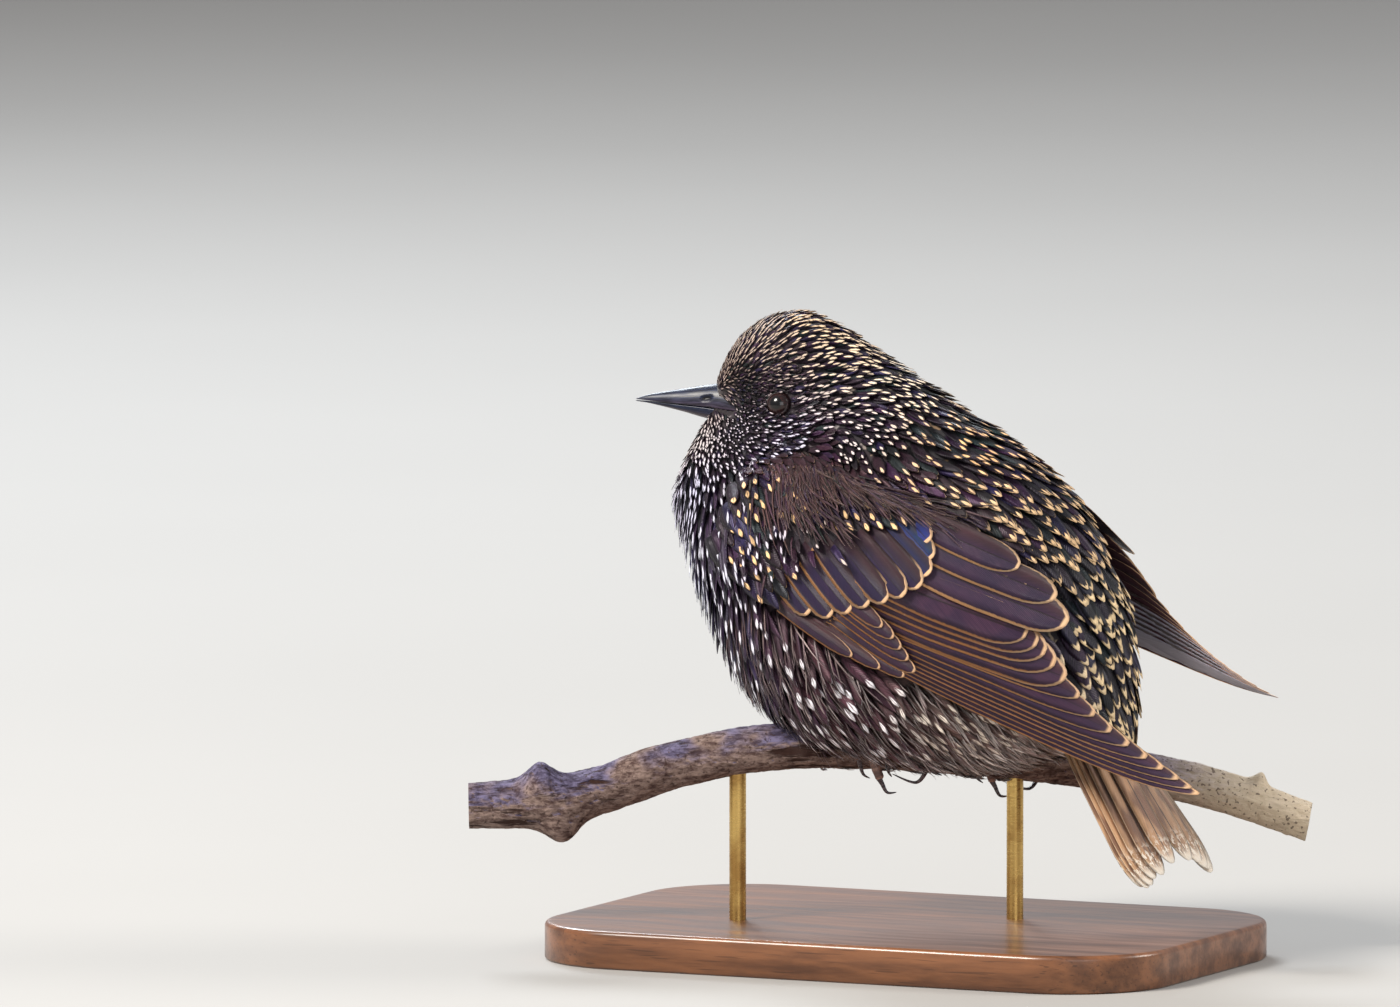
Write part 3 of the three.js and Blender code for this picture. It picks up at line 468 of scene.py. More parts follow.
class Wire:
    """Output of a shader node. Sums, products and the like of wires and numbers are Math nodes."""

    def __init__(self, socket):
        self.socket = socket
        self.tree = socket.id_data

    def __add__(self, other):
        return maths("ADD", self, other)

    def __sub__(self, other):
        return maths("SUBTRACT", self, other)

    def __rsub__(self, other):
        return maths("SUBTRACT", other, self)

    def __mul__(self, other):
        return maths("MULTIPLY", self, other)

    def __truediv__(self, other):
        return maths("DIVIDE", self, other)

    def __abs__(self):
        return maths("ABSOLUTE", self)


def add_node(kind, inputs, tree=None, **settings):
    """New node with its settings, and its inputs set or linked by name or number; gives its outputs.
    Where no tree is given, it goes into the tree of its first wire."""
    if tree is None:
        tree = next(value.tree for value in inputs.values() if isinstance(value, Wire))
    made = tree.nodes.new(kind)
    for key, value in settings.items():
        setattr(made, key, value)
    for key, value in inputs.items():
        if isinstance(value, Wire):
            tree.links.new(value.socket, made.inputs[key])
        else:
            made.inputs[key].default_value = value
    return made.outputs


def maths(operation, *values):
    """Result of a Math node."""
    return Wire(add_node("ShaderNodeMath", dict(enumerate(values)), operation=operation)[0])


def ramp(value, low, high, start=0.0, end=1.0):
    """Value carried smoothly from start to end as the input goes from low to high."""
    inputs = {0: value, 1: low, 2: high, 3: start, 4: end}
    return Wire(add_node("ShaderNodeMapRange", inputs, interpolation_type="SMOOTHSTEP")[0])


def mixed(factor, first, second, blend="MIX"):
    """Colour mixed by a factor from two wires or screen colours."""
    colours = [tuple(linear(*c)) + (1.0,) if isinstance(c, tuple) else c for c in (first, second)]
    inputs = {0: factor, 6: colours[0], 7: colours[1]}
    return Wire(add_node("ShaderNodeMix", inputs, data_type="RGBA", blend_type=blend)[2])


def painted(colour, *coats):
    """Colour with coats over it, each a mask and its colour."""
    for mask, coat in coats:
        colour = mixed(mask, colour, coat)
    return colour


def shaded(colour, value):
    """Colour times a value."""
    grey = Wire(add_node("ShaderNodeCombineColor", {0: value, 1: value, 2: value})[0])
    return mixed(1.0, colour, grey, "MULTIPLY")


def noise(vector, scale, detail=2.0, roughness=0.5):
    """Factor of a Noise texture."""
    inputs = {"Vector": vector, "Scale": scale, "Detail": detail, "Roughness": roughness}
    return Wire(add_node("ShaderNodeTexNoise", inputs)["Fac"])


def combined(x, y, z):
    """Vector of three values."""
    return Wire(add_node("ShaderNodeCombineXYZ", {0: x, 1: y, 2: z})[0])


def separated(vector):
    """The three values of a vector."""
    return [Wire(output) for output in add_node("ShaderNodeSeparateXYZ", {0: vector})]


def new_group(name, inputs, outputs):
    """Empty shader node group with named inputs and float outputs; gives its tree, its inputs and its end."""
    tree = bpy.data.node_groups.new(name, "ShaderNodeTree")
    for label, kind in inputs.items():
        tree.interface.new_socket(label, in_out="INPUT", socket_type="NodeSocket" + kind)
    for label in outputs:
        tree.interface.new_socket(label, in_out="OUTPUT", socket_type="NodeSocketFloat")
    given = {socket.name: Wire(socket) for socket in tree.nodes.new("NodeGroupInput").outputs if socket.name}
    return tree, given, tree.nodes.new("NodeGroupOutput")


def feed(node, **wires):
    """Inputs of a node, named with _ for a space, fed by wires."""
    for key, wire in wires.items():
        wire.tree.links.new(wire.socket, node.inputs[key.replace("_", " ")])


def place_group(group, **inputs):
    """A group placed in a material, with its inputs; gives its outputs by name."""
    tree = next(value.tree for value in inputs.values() if isinstance(value, Wire))
    outputs = add_node("ShaderNodeGroup", inputs, tree, node_tree=group)
    return {socket.name: Wire(socket) for socket in outputs}


class Finish:
    """A material in the making: the sources of its patterns and its Principled shader, whose plain values are
    set on its own sockets."""

    def __init__(self, name, **sockets):
        self.material = bpy.data.materials.new(name)
        self.material.use_nodes = True
        self.tree = self.material.node_tree
        self.shader = self.tree.nodes["Principled BSDF"]
        for key, value in sockets.items():
            self.shader.inputs[key.replace("_", " ")].default_value = value

    def source(self, kind, output, **settings):
        return Wire(add_node(kind, {}, self.tree, **settings)[output])

    def colour(self, name):
        return self.source("ShaderNodeAttribute", "Color", attribute_name=name)

    def values(self, name):
        return separated(self.source("ShaderNodeAttribute", "Vector", attribute_name=name))

    def chart(self, name):
        return self.source("ShaderNodeUVMap", "UV", uv_map=name)

    def place(self):
        return self.source("ShaderNodeTexCoord", "Object")

    def done(self, height=None, strength=0.0, depth=0.0, **wires):
        """The material, its shader fed by wires and bumped by a height with a strength and a depth in mm."""
        if height:
            inputs = {"Height": height, "Strength": strength, "Distance": depth * MM}
            wires["Normal"] = Wire(add_node("ShaderNodeBump", inputs)[0])
        feed(self.shader, **wires)
        return self.material


def barbs_group():
    """Barbs of a vane: fine slanting ridges either side of the shaft, and streaks that run out along them."""
    inputs = {"Vane": "Vector", "Chance": "Float", "Count": "Float"}
    tree, given, end = new_group("Vane barbs", inputs, ("Streak", "Ridge", "Shaft"))
    u, v, _ = separated(given["Vane"])
    aside = abs(u * 2.0 - 1.0)
    barb = (v - aside * 0.22) * given["Count"]
    streak = noise(combined(barb, u * 1.6, given["Chance"] * 37.0), 1.1, 3.0, 0.65)
    feed(end, Streak=streak, Ridge=maths("SINE", barb * 6.2832), Shaft=ramp(aside, 0.02, 0.07, 1.0, 0.0))
    return tree


def spot_group():
    """Pale tip spot of a small feather, an oval at a place along the vane, notched at the shaft where it is wide,
    and a pale fringe along its rim."""
    inputs = {"Vane": "Vector", "Mark": "Vector", "Edge": "Vector", "Streak": "Float"}
    tree, given, end = new_group("Tip spot and fringe", inputs, ("Mask",))
    u, v, _ = separated(given["Vane"])
    place, tall, wide = separated(given["Mark"])
    rim, fringe, _ = separated(given["Edge"])
    stray = given["Streak"] * 0.16 - 0.08
    rise = (v + stray - place) / tall
    aside = (u * 2.0 - 1.0) / (wide * ramp(rise, -1.1, 0.5, 0.4, 1.0))
    away = maths("SQRT", rise * rise + aside * aside)
    shaft = ramp(abs(aside), 0.1, 0.38, 1.0, 0.0) * ramp(rise, -0.6, 0.5, 1.0, 0.4)
    notch = shaft * ramp(wide, 0.62, 0.8, 0.0, 0.9)
    spot = ramp(away, 0.8, 1.12, 1.0, 0.0) * (1.0 - notch)
    band = ramp(stray * 0.5 + fringe - rim, -0.03, 0.03) * ramp(v, 0.76, 0.88)
    feed(end, Mask=maths("MAXIMUM", spot, band))
    return tree


BARBS = barbs_group()
SPOTS = spot_group()


def plumage_material():
    """Small feathers: glossy dark colour of each, with its pale spot or fringe."""
    made = Finish("Spotted plumage", Sheen_Weight=0.05, Sheen_Roughness=0.4, Specular_IOR_Level=0.32)
    vane = made.chart("Vane")
    edge = made.source("ShaderNodeAttribute", "Vector", attribute_name="edge")
    mark = made.source("ShaderNodeAttribute", "Vector", attribute_name="mark")
    barbs = place_group(BARBS, Vane=vane, Chance=separated(edge)[2], Count=16.0)
    streak = barbs["Streak"]
    mask = place_group(SPOTS, Vane=vane, Mark=mark, Edge=edge, Streak=streak)["Mask"]
    dark = shaded(made.colour("dark"), ramp(streak, 0.3, 0.7, 0.45, 1.5))
    pale = shaded(made.colour("pale"), ramp(streak, 0.3, 0.7, 0.8, 1.1))
    return made.done(
        barbs["Ridge"], 0.35, 0.12, Base_Color=mixed(mask, dark, pale),
        Roughness=ramp(mask, 0.0, 1.0, 0.38, 0.62), Metallic=ramp(mask, 0.0, 1.0, 0.3, 0.0),
    )


def flight_material():
    """Large vanes: purple-brown, with a thin buff stripe on the outer edge, a faint blue strip inside it, a thin
    pale rim at the tip and, on some, a silvery underside. mark holds the stripe's width and the strengths of the
    strip and of the silver; the chance in edge is below 0 on the underside."""
    made = Finish("Edged flight feathers", Sheen_Weight=0.05, Sheen_Roughness=0.35, Specular_IOR_Level=0.35)
    vane = made.chart("Vane")
    rim, fringe, chance = made.values("edge")
    width, strip, silver = made.values("mark")
    barbs = place_group(BARBS, Vane=vane, Chance=chance, Count=60.0)
    u, v, _ = separated(vane)
    from_edge = u + (barbs["Streak"] * 0.06 - 0.03)
    stripe = ramp(from_edge / width, 0.7, 1.25, 1.0, 0.0)
    sheen = ramp(from_edge, 0.42, 0.75, 1.0, 0.0) * ramp(v, 0.1, 0.4) * strip
    outline = ramp(fringe - rim, -0.01, 0.02) * ramp(v, 0.6, 0.85)
    under = ramp(chance, 0.0, 0.05, 0.85, 0.0) * silver * ramp(v, 0.3, 0.5)
    cloud = noise(combined(u * 1.2, v * 5.0, chance * 31.0), 1.3)
    shade = ramp(barbs["Streak"], 0.3, 0.7, 0.75, 1.3)
    pale = made.colour("pale")
    colour = painted(
        shaded(made.colour("dark"), shade),
        (ramp(cloud, 0.4, 0.62, 0.0, 0.45), (30, 20, 34)),
        (ramp(u, 0.55, 0.98, 0.0, 0.3), (98, 66, 62)),
        (sheen, (22, 34, 112)),
        (barbs["Shaft"] * 0.7, (26, 15, 18)),
        (stripe, pale),
        (outline, mixed(0.45, pale, (240, 214, 178))),
        (under, shaded((168, 164, 176), shade)),
    )
    roughness = ramp(stripe, 0.0, 1.0, 0.42, 0.6)
    return made.done(barbs["Ridge"], 0.4, 0.1, Base_Color=colour, Roughness=roughness)


def tail_material():
    """Worn tail vanes: warm tan, dark towards the shaft and in cloudy patches, with pale worn and chipped tips."""
    made = Finish("Worn tail feathers", Sheen_Weight=0.2, Specular_IOR_Level=0.4, Roughness=0.55)
    vane = made.chart("Vane")
    rim, _, chance = made.values("edge")
    barbs = place_group(BARBS, Vane=vane, Chance=chance, Count=60.0)
    u, v, _ = separated(vane)
    cloud = noise(combined(u * 1.5, v * 4.0, chance * 31.0), 1.4)
    middle = ramp(abs(u * 2.0 - 1.0), 0.15, 0.8, 0.3, 0.0)
    dusk = maths("MAXIMUM", ramp(cloud, 0.42, 0.62, 0.1, 0.9), middle)
    chips = noise(combined(u * 5.0, v * 26.0, chance * 17.0), 1.6, 3.0, 0.65)
    chipped = ramp(chips, 0.52, 0.57) * ramp(v, 0.84, 0.95)
    worn = ramp(v + barbs["Streak"] * 0.1, 0.985, 1.05)
    brown = mixed(dusk, made.colour("pale"), made.colour("dark"))
    colour = painted(
        shaded(brown, ramp(barbs["Streak"], 0.3, 0.7, 0.8, 1.12)),
        (barbs["Shaft"], (40, 20, 14)),
        (ramp(rim, 0.01, 0.03, 0.7, 0.0), (62, 34, 26)),
        (ramp(rim, 0.05, 0.08, 1.0, 0.0) * ramp(rim, 0.02, 0.03, 0.0, 0.55), (238, 206, 166)),
        (maths("MAXIMUM", worn, chipped), (240, 228, 212)),
    )
    return made.done(barbs["Ridge"], 0.35, 0.1, Base_Color=colour)


def skin_material():
    """Down under the feathers: dark, in the colours that the coat has there, with soft fibres."""
    made = Finish("Down under the coat", Roughness=0.8, Sheen_Weight=0.3)
    place = made.place()
    fibres = noise(place, 900.0, 4.0, 0.6)
    flecks = ramp(noise(place, 420.0, 1.0), 0.6, 0.68, 0.0, 0.25)
    dark = shaded(made.colour("dark"), ramp(fibres, 0.3, 0.7, 0.5, 1.2))
    return made.done(fibres, 0.5, 0.4, Base_Color=mixed(flecks, dark, made.colour("pale")))


def horn_material():
    """Bill: blue-black horn, browner low down, with fine lengthwise growth lines; mark holds painted shade in the
    nostril pit.
    """
    made = Finish("Blue-black horn", Specular_IOR_Level=0.32, Coat_Weight=0.08, Coat_Roughness=0.25)
    turn, run, _ = separated(made.chart("Length"))
    lines = noise(combined(turn * 22.0, run * 3.0, 0.0), 2.0, 3.0)
    colour = mixed(ramp(lines, 0.35, 0.7), made.colour("dark"), made.colour("pale"))
    # painted shade: the nostril pit darkened where the mark follows its depth
    colour = mixed(made.values("mark")[0], colour, (14, 11, 13))
    return made.done(lines, 0.12, 0.15, Base_Color=colour, Roughness=ramp(lines, 0.3, 0.7, 0.32, 0.46))


def eye_material():
    """Eye: black pupil in a dark reddish-brown iris under a clear wet coat; mark holds the turn off its axis."""
    made = Finish("Dark brown eye", Roughness=0.2, Coat_Weight=0.35, Coat_Roughness=0.03, Specular_IOR_Level=0.35)
    off_axis, turn, _ = made.values("mark")
    rays = noise(combined(turn * 18.0, off_axis * 3.0, 0.0), 1.5, 2.0)
    return made.done(Base_Color=painted(
        mixed(ramp(rays, 0.35, 0.65), (24, 11, 12), (46, 24, 22)),
        (ramp(off_axis, 0.46, 0.52, 1.0, 0.0), (4, 3, 4)),
        (ramp(off_axis, 0.8, 0.95), (30, 18, 18)),
    ))


def scaly_material(name, dark, light, roughness):
    """Scaly skin or claw: two tones in bands along the piece, with small cell-like bumps."""
    made = Finish(name, Roughness=roughness, Specular_IOR_Level=0.5)
    inputs = {"Vector": made.place(), "Scale": 1100.0}
    cells = Wire(add_node("ShaderNodeTexVoronoi", inputs, feature="DISTANCE_TO_EDGE")["Distance"])
    band = noise(combined(0.0, separated(made.chart("Length"))[1] * 8.0, 0.0), 1.6, 2.0)
    colour = painted(mixed(ramp(band, 0.35, 0.65), dark, light), (ramp(cells, 0.0, 0.12, 0.5, 0.0), dark))
    return made.done(ramp(cells, 0.0, 0.2), 0.35, 0.2, Base_Color=colour)


def bark_material():
    """Bark: grey-brown with painted bluish skylight in patches where it faces up, dark cracks drawn out along the
    branch, fine pores, paler at one end.
    """
    made = Finish("Grey-brown bark", Specular_IOR_Level=0.3)
    place = made.place()
    turned = {"Vector": place, "Rotation": (0, 0, -float(PERCH_HEADING))}
    along, out, up = separated(Wire(add_node("ShaderNodeMapping", turned, vector_type="POINT")[0]))
    grain = noise(combined(along * 0.4, out, up), 900.0, 6.0, 0.68)
    drawn = noise(combined(along * 0.12, out, up), 420.0, 4.0, 0.62)
    broad = noise(place, 60.0, 3.0)
    cracks = ramp(drawn, 0.56, 0.64) * ramp(broad, 0.36, 0.56) * ramp(along, 0.045, 0.07, 1.0, 0.15)
    pores = ramp(noise(place, 1000.0, 1.0), 0.62, 0.7)
    facing = separated(made.source("ShaderNodeNewGeometry", "True Normal"))[2]
    tone = ramp(grain, 0.34, 0.66)
    colour = painted(
        mixed(tone, (76, 56, 52), (148, 126, 116)),
        # painted light: bluish skylight laid on the patches of bark that face up
        (ramp(facing, -0.1, 0.5) * ramp(broad, 0.34, 0.5), mixed(tone, (56, 48, 66), (116, 108, 138))),
        (ramp(along, 0.05, 0.085, 0.0, 0.85), (218, 200, 172)),
        (cracks, (52, 30, 24)),
        (pores * 0.7, (58, 40, 36)),
    )
    roughness = ramp(grain, 0.3, 0.7, 0.95, 0.72)
    return made.done(grain - cracks * 0.9, 0.9, 0.8, Base_Color=colour, Roughness=roughness)


def cut_wood_material():
    """Sawn end of the branch: pale wood in two tones with dark specks."""
    made = Finish("Sawn branch end", Roughness=0.75)
    specks = noise(made.place(), 1500.0, 2.0)
    tones = ramp(noise(made.place(), 500.0, 2.0), 0.4, 0.6)
    wood = mixed(tones, (196, 166, 124), (168, 132, 92))
    return made.done(specks, 0.3, 0.15, Base_Color=mixed(ramp(specks, 0.55, 0.7, 0.0, 0.5), wood, (120, 88, 60)))


def stand_wood_material():
    """Varnished hardwood with straight grain along the base and fine pores."""
    made = Finish("Varnished hardwood", Coat_Weight=0.35, Coat_Roughness=0.2, Specular_IOR_Level=0.45)
    place = made.place()
    x, y, z = separated(place)
    grain = noise(combined(x * 0.09, y + noise(place, 12.0, 2.0) * 0.02, z), 240.0, 5.0, 0.6)
    pores = ramp(noise(combined(x * 0.05, y, z), 1600.0, 1.0), 0.62, 0.7)
    wood = mixed(ramp(grain, 0.3, 0.72), (84, 50, 30), (134, 86, 54))
    colour = mixed(pores * 0.5, wood, (52, 30, 18))
    return made.done(pores, 0.15, 0.1, Base_Color=colour, Roughness=ramp(grain, 0.3, 0.7, 0.42, 0.3))


def brass_material():
    """Brushed brass: fine lines round the rods and a slight warm tarnish."""
    made = Finish("Brushed brass", Metallic=1.0)
    place = made.place()
    x, y, z = separated(place)
    lines = noise(combined(x * 0.2, y * 0.2, z), 2600.0)
    colour = mixed(ramp(noise(place, 120.0, 3.0), 0.4, 0.7), (206, 172, 104), (168, 130, 74))
    return made.done(lines, 0.1, 0.05, Base_Color=colour, Roughness=ramp(lines, 0.3, 0.7, 0.24, 0.42))


def floor_material():
    """Matt pale studio floor with a faint unevenness."""
    made = Finish("Pale studio floor", Roughness=0.8)
    return made.done(Base_Color=mixed(noise(made.place(), 3.0, 2.0), (166, 164, 161), (172, 170, 167)))


def bind(thing, slot, *nodes):
    """Piece rides on the model and stands for CAD nodes, which it hides; its slot is not used."""
    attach(thing, "root")
    if nodes:
        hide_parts(*nodes)
    return thing


# Coat: its looks at named places of the plumage, the same on both sides. Each row has its section and degrees
# from the back; feather length, spacing, half width, pointedness from 0 to 1, depth of the coat and stand-off of
# the tips; a dark and a pale screen colour; the tip spot's place, half height and half width; the fringe's width
# and the share of feathers marked.
COAT_PLACES = {
    "lore": (3.5, 81, 2.1, 0.9, 0.42, 0.5, 0.8, 0, 14, 8, 12, 86, 66, 66, 0.8, 0.2, 0.4, 0, 0.1),
    "bill rim": (1.4, 96, 1.7, 0.9, 0.4, 0.5, 0.5, 0, 50, 36, 40, 190, 170, 164, 0.76, 0.32, 0.45, 0, 0.8),
    "bill flank": (1.7, 64, 2, 0.95, 0.42, 0.5, 0.6, 0, 62, 42, 46, 206, 180, 162, 0.74, 0.34, 0.5, 0, 0.9),
    "under eye": (4.2, 94, 3, 1.2, 0.6, 0.5, 1, 0, 36, 20, 36, 224, 214, 228, 0.82, 0.2, 0.5, 0, 0.85),
    "forehead": (1.9, 34, 2.6, 1.05, 0.46, 0.5, 0.7, 0, 60, 40, 46, 208, 184, 164, 0.76, 0.36, 0.46, 0, 0.92),
    "brow": (2.9, 50, 3.4, 1.3, 0.6, 0.5, 1, 0, 50, 32, 40, 214, 190, 170, 0.8, 0.3, 0.46, 0, 0.9),
    "chin": (3.1, 122, 3.8, 1.35, 0.62, 0.6, 1, 0, 72, 50, 58, 234, 222, 220, 0.76, 0.32, 0.65, 0, 0.9),
    "chin edge": (2.2, 134, 2.4, 1.1, 0.5, 0.6, 0.7, 0, 66, 46, 52, 226, 214, 210, 0.76, 0.32, 0.6, 0, 0.85),
    "crown": (3.7, 14, 5.4, 1.95, 0.95, 0.45, 1.2, 0.4, 36, 20, 34, 252, 218, 178, 0.84, 0.23, 0.5, 0, 0.95),
    "hind crown": (4.9, 22, 5.8, 2.05, 1.02, 0.45, 1.5, 0.15, 30, 18, 32, 252, 224, 190, 0.84, 0.22, 0.5, 0, 0.96),
    "nape": (5.9, 20, 6.4, 2.2, 1.12, 0.45, 2, 0.2, 32, 20, 34, 252, 232, 204, 0.85, 0.2, 0.52, 0, 0.96),
    "cheek": (5.5, 82, 4.6, 1.7, 0.8, 0.5, 1.2, 0.1, 34, 18, 42, 230, 226, 248, 0.84, 0.21, 0.5, 0, 0.9),
    "ear": (6.3, 58, 5.4, 1.95, 0.95, 0.45, 1.6, 0.1, 34, 20, 34, 238, 224, 222, 0.85, 0.19, 0.52, 0, 0.9),
    "throat": (3.9, 128, 7, 1.9, 0.85, 0.7, 1.8, 0.6, 26, 16, 40, 224, 222, 250, 0.82, 0.2, 0.6, 0, 0.94),
    "throat middle": (3.6, 168, 7, 2, 0.9, 0.75, 2, 0.8, 26, 16, 38, 224, 222, 250, 0.82, 0.2, 0.6, 0, 0.94),
    "side neck": (6.4, 96, 7, 2.2, 1, 0.6, 2.2, 0.2, 46, 26, 42, 232, 224, 240, 0.86, 0.14, 0.58, 0, 0.78),
    "breast": (5.5, 150, 10.5, 2.8, 1.3, 0.7, 3, 1.1, 26, 20, 66, 236, 240, 255, 0.86, 0.15, 0.62, 0, 0.94),
    "low breast": (7.2, 142, 12, 3.4, 1.65, 0.6, 3.2, 1.3, 46, 26, 56, 244, 244, 255, 0.87, 0.13, 0.7, 0, 0.56),
    "side breast": (5.6, 116, 10, 2.5, 1.1, 0.75, 3, 0.5, 48, 34, 56, 234, 234, 250, 0.87, 0.13, 0.66, 0, 0.62),
    "shoulder": (6.4, 74, 9, 2.2, 0.8, 0.95, 2.6, 0.4, 88, 52, 54, 220, 188, 160, 0.9, 0.08, 0.6, 0, 0.12),
    "mantle": (7.4, 20, 11, 3.15, 1.6, 0.5, 2.5, 0.3, 26, 18, 30, 250, 198, 140, 0.87, 0.13, 0.5, 0, 0.96),
    "side mantle": (7.3, 52, 12.5, 3.4, 1.65, 0.6, 2.6, 0.4, 50, 30, 38, 248, 206, 154, 0.88, 0.12, 0.5, 0, 0.8),
    "back": (9.2, 20, 13.5, 3.6, 2.05, 0.5, 2.6, 0.3, 24, 20, 30, 236, 196, 148, 0.92, 0.09, 0.6, 0.16, 0.94),
    "scapular": (8.6, 45, 13.5, 3.5, 1.95, 0.55, 2.6, 0.4, 44, 30, 36, 232, 194, 150, 0.9, 0.1, 0.54, 0.14, 0.9),
    "rump": (11.3, 20, 12.5, 3.7, 2.3, 0.6, 2.6, 0.4, 14, 16, 28, 248, 218, 170, 0.99, 0.08, 0.7, 0.3, 0.95),
    "side rump": (11.3, 70, 13, 3.8, 2.3, 0.6, 3, 0.5, 34, 26, 40, 248, 222, 184, 0.98, 0.08, 0.7, 0.26, 0.9),
    "tail covert": (13.4, 25, 16, 3.8, 2.5, 0.6, 2.4, 0.3, 18, 18, 30, 248, 218, 170, 0.99, 0.07, 0.7, 0.26, 0.95),
    "flank": (8.6, 112, 14, 3.9, 1.9, 0.45, 3.6, 0.9, 76, 44, 54, 250, 246, 252, 0.89, 0.13, 0.85, 0, 0.4),
    "belly": (9.3, 142, 14.5, 3.8, 1.8, 0.5, 4, 1.1, 84, 52, 58, 250, 246, 250, 0.89, 0.13, 0.85, 0, 0.4),
    "belly middle": (9, 176, 14.5, 3.8, 1.8, 0.5, 4, 1, 88, 58, 60, 242, 238, 242, 0.89, 0.13, 0.85, 0, 0.36),
    "under wing": (10.7, 117, 13, 3.3, 1.6, 0.6, 4, 0.8, 122, 96, 92, 250, 236, 218, 0.86, 0.16, 0.7, 0, 0.62),
    "vent": (11.6, 134, 13.5, 3.2, 1.3, 0.8, 4, 1.2, 184, 164, 158, 252, 246, 242, 0.78, 0.26, 0.6, 0, 0.7),
    "undertail": (13.4, 130, 13, 3.4, 1.6, 0.6, 2.6, 0.5, 110, 80, 72, 242, 224, 204, 0.88, 0.15, 0.8, 0.12, 0.85),
}
LENGTH, SPACING, HALF, POINT, DEPTH, LIFT = range(6)
DARK = slice(6, 9)
PALE = slice(9, 12)
SPOT = slice(12, 15)
FRINGE = 15
SHARE = 16
# Mark of a feather without a spot: its place lies far past the tip
NO_SPOT = (3, 1, 1)

FACE_STATIONS = np.array([0, 0.35, 0.7, 0.9, 1.0])
COAT_STATIONS = np.array([0, 0.25, 0.5, 0.72, 0.9, 1.0])
VANE_THICK = 0.16
# Size of a small vane's patch on the unwrap
PATCH = 0.003
GLOSS_TINTS = np.array([linear(14, 54, 50), linear(30, 28, 84), linear(64, 26, 74)])
# Low on the belly vanes lean down, and on the sides of the head they lean up to the crown
LOW_ARC = np.radians((95, 150))
UPWARD_ARC = np.radians((26, 88))
# Roots keep off an eye by the first distance, and vanes by the second
EYE_CLEAR = (2.7, 2.5)
UNDERTAIL_START = 14.0

# Room of the folded wing on its chart: run, lowest and highest across
WING_ROOM = np.array([
    (-11, 7, 19), (-6, 2, 28), (8, -0.8, 36.5), (25, -1, 40.5), (45, -0.8, 42), (62, -0.8, 42),
    (76, -0.8, 40), (84, -1, 35), (94, -1.5, 23), (106, -2.5, 14), (118, -3.5, 8), (126, -3.5, 2.5),
])
WING_INSIDE = -2.5
# Coverts' face: height at the leading edge, rise, its width, start of the fall, fall
COVERT_FACE = (-0.4, 4.0, 22.0, 35.0, 4.4)
# Slanting edge of the face feathers on the bill: ahead and up at the gape and on the culmen
FEATHER_EDGE = ((-3.5, -1.0), (4.2, 4.5))
CHIN_EDGE = -3.6


def coat_table():
    """Places and values of the coat's named places, on the left and on the right."""
    places = []
    values = []
    for section, degrees, *row in COAT_PLACES.values():
        looks = np.concatenate([row[:6], linear(*row[6:9]), linear(*row[9:12]), row[12:]])
        for side in (-1, 1):
            places.append(body_point(section, side * np.radians(degrees)))
            values.append(looks)
    return np.array(places), np.array(values)


COAT_POINTS, COAT_VALUES = coat_table()


def coat_looks(points):
    """Looks at points of the plumage: the mean of the named places, each weighed by 1 / (distance² + 16)²."""
    gaps = ((points[..., None, :] - COAT_POINTS) ** 2).sum(-1)
    weights = 1 / (gaps + 16) ** 2
    return (weights / weights.sum(-1, keepdims=True)) @ COAT_VALUES


def covert_height(across):
    """Height of the coverts' face on the wing: it rises from the leading edge and falls at the upper edge."""
    edge, rise, rise_width, fall_start, fall = COVERT_FACE
    return edge + rise * smooth(across, 0, rise_width) - fall * smooth(across, fall_start, fall_start + 7)


def wing_room(run):
    """Lowest and highest place across the folded wing at a run along it."""
    return [np.interp(run, WING_ROOM[:, 0], WING_ROOM[:, k]) for k in (1, 2)]


def wing_faces():
    """Points, outward normals, height of the top over the chart, distance inside the rim and run, on both wings."""
    start, end = -10, 124
    run, share = np.meshgrid(np.linspace(start, end, 68), np.linspace(0, 1, 24), indexing="ij")
    low, high = wing_room(run)
    across = low + (high - low) * share
    inside = np.minimum(np.minimum(across - low, high - across), np.minimum(run - start, end - run))
    fore = 1 - smooth(run, 40, 56)
    top = covert_height(across) * fore + (-1.0 + 4.2 * smooth(across, 2, 34)) * (1 - fore) + 0.5
    base = np.stack([wing_point(side, run, across, 0) for side in (-1, 1)])
    out = unit(np.stack([wing_point(side, run, across, 1) for side in (-1, 1)]) - base)
    return (base.reshape(-1, 3), out.reshape(-1, 3)) + tuple(np.tile(v.ravel(), 2) for v in (top, inside, run))


WING_FACE, WING_OUT, WING_TOP, WING_INNER, WING_RUN = wing_faces()


def nearest_on_wings(points):
    """For each point: height over the wing's chart, outward normal, height of the wing's top there,
    distance inside the rim, sideways distance from the nearest point of the chart and that point's run."""
    flat = points.reshape(-1, 3)
    nearest = np.empty(len(flat), int)
    batch = 3000
    for start in range(0, len(flat), batch):
        part = flat[start:start + batch]
        gaps = (part ** 2).sum(-1)[:, None] + (WING_FACE ** 2).sum(-1) - 2 * part @ WING_FACE.T
        nearest[start:start + batch] = gaps.argmin(1)
    away = flat - WING_FACE[nearest]
    height = (away * WING_OUT[nearest]).sum(-1)
    sideways = np.sqrt(np.maximum((away ** 2).sum(-1) - height ** 2, 0))
    values = (height, WING_TOP[nearest], WING_INNER[nearest], sideways, WING_RUN[nearest])
    height, top, inner, sideways, run = (v.reshape(points.shape[:-1]) for v in values)
    return height, WING_OUT[nearest].reshape(points.shape), top, inner, sideways, run


def perch_offset(points):
    """Distance along the perch, and offset of each point from its centre line: out and up."""
    along = points @ PERCH_AHEAD
    out = points @ PERCH_NEAR + perch_value(along, PERCH_BACK)
    return along, out, points[..., 2] - perch_value(along, PERCH_RISE)


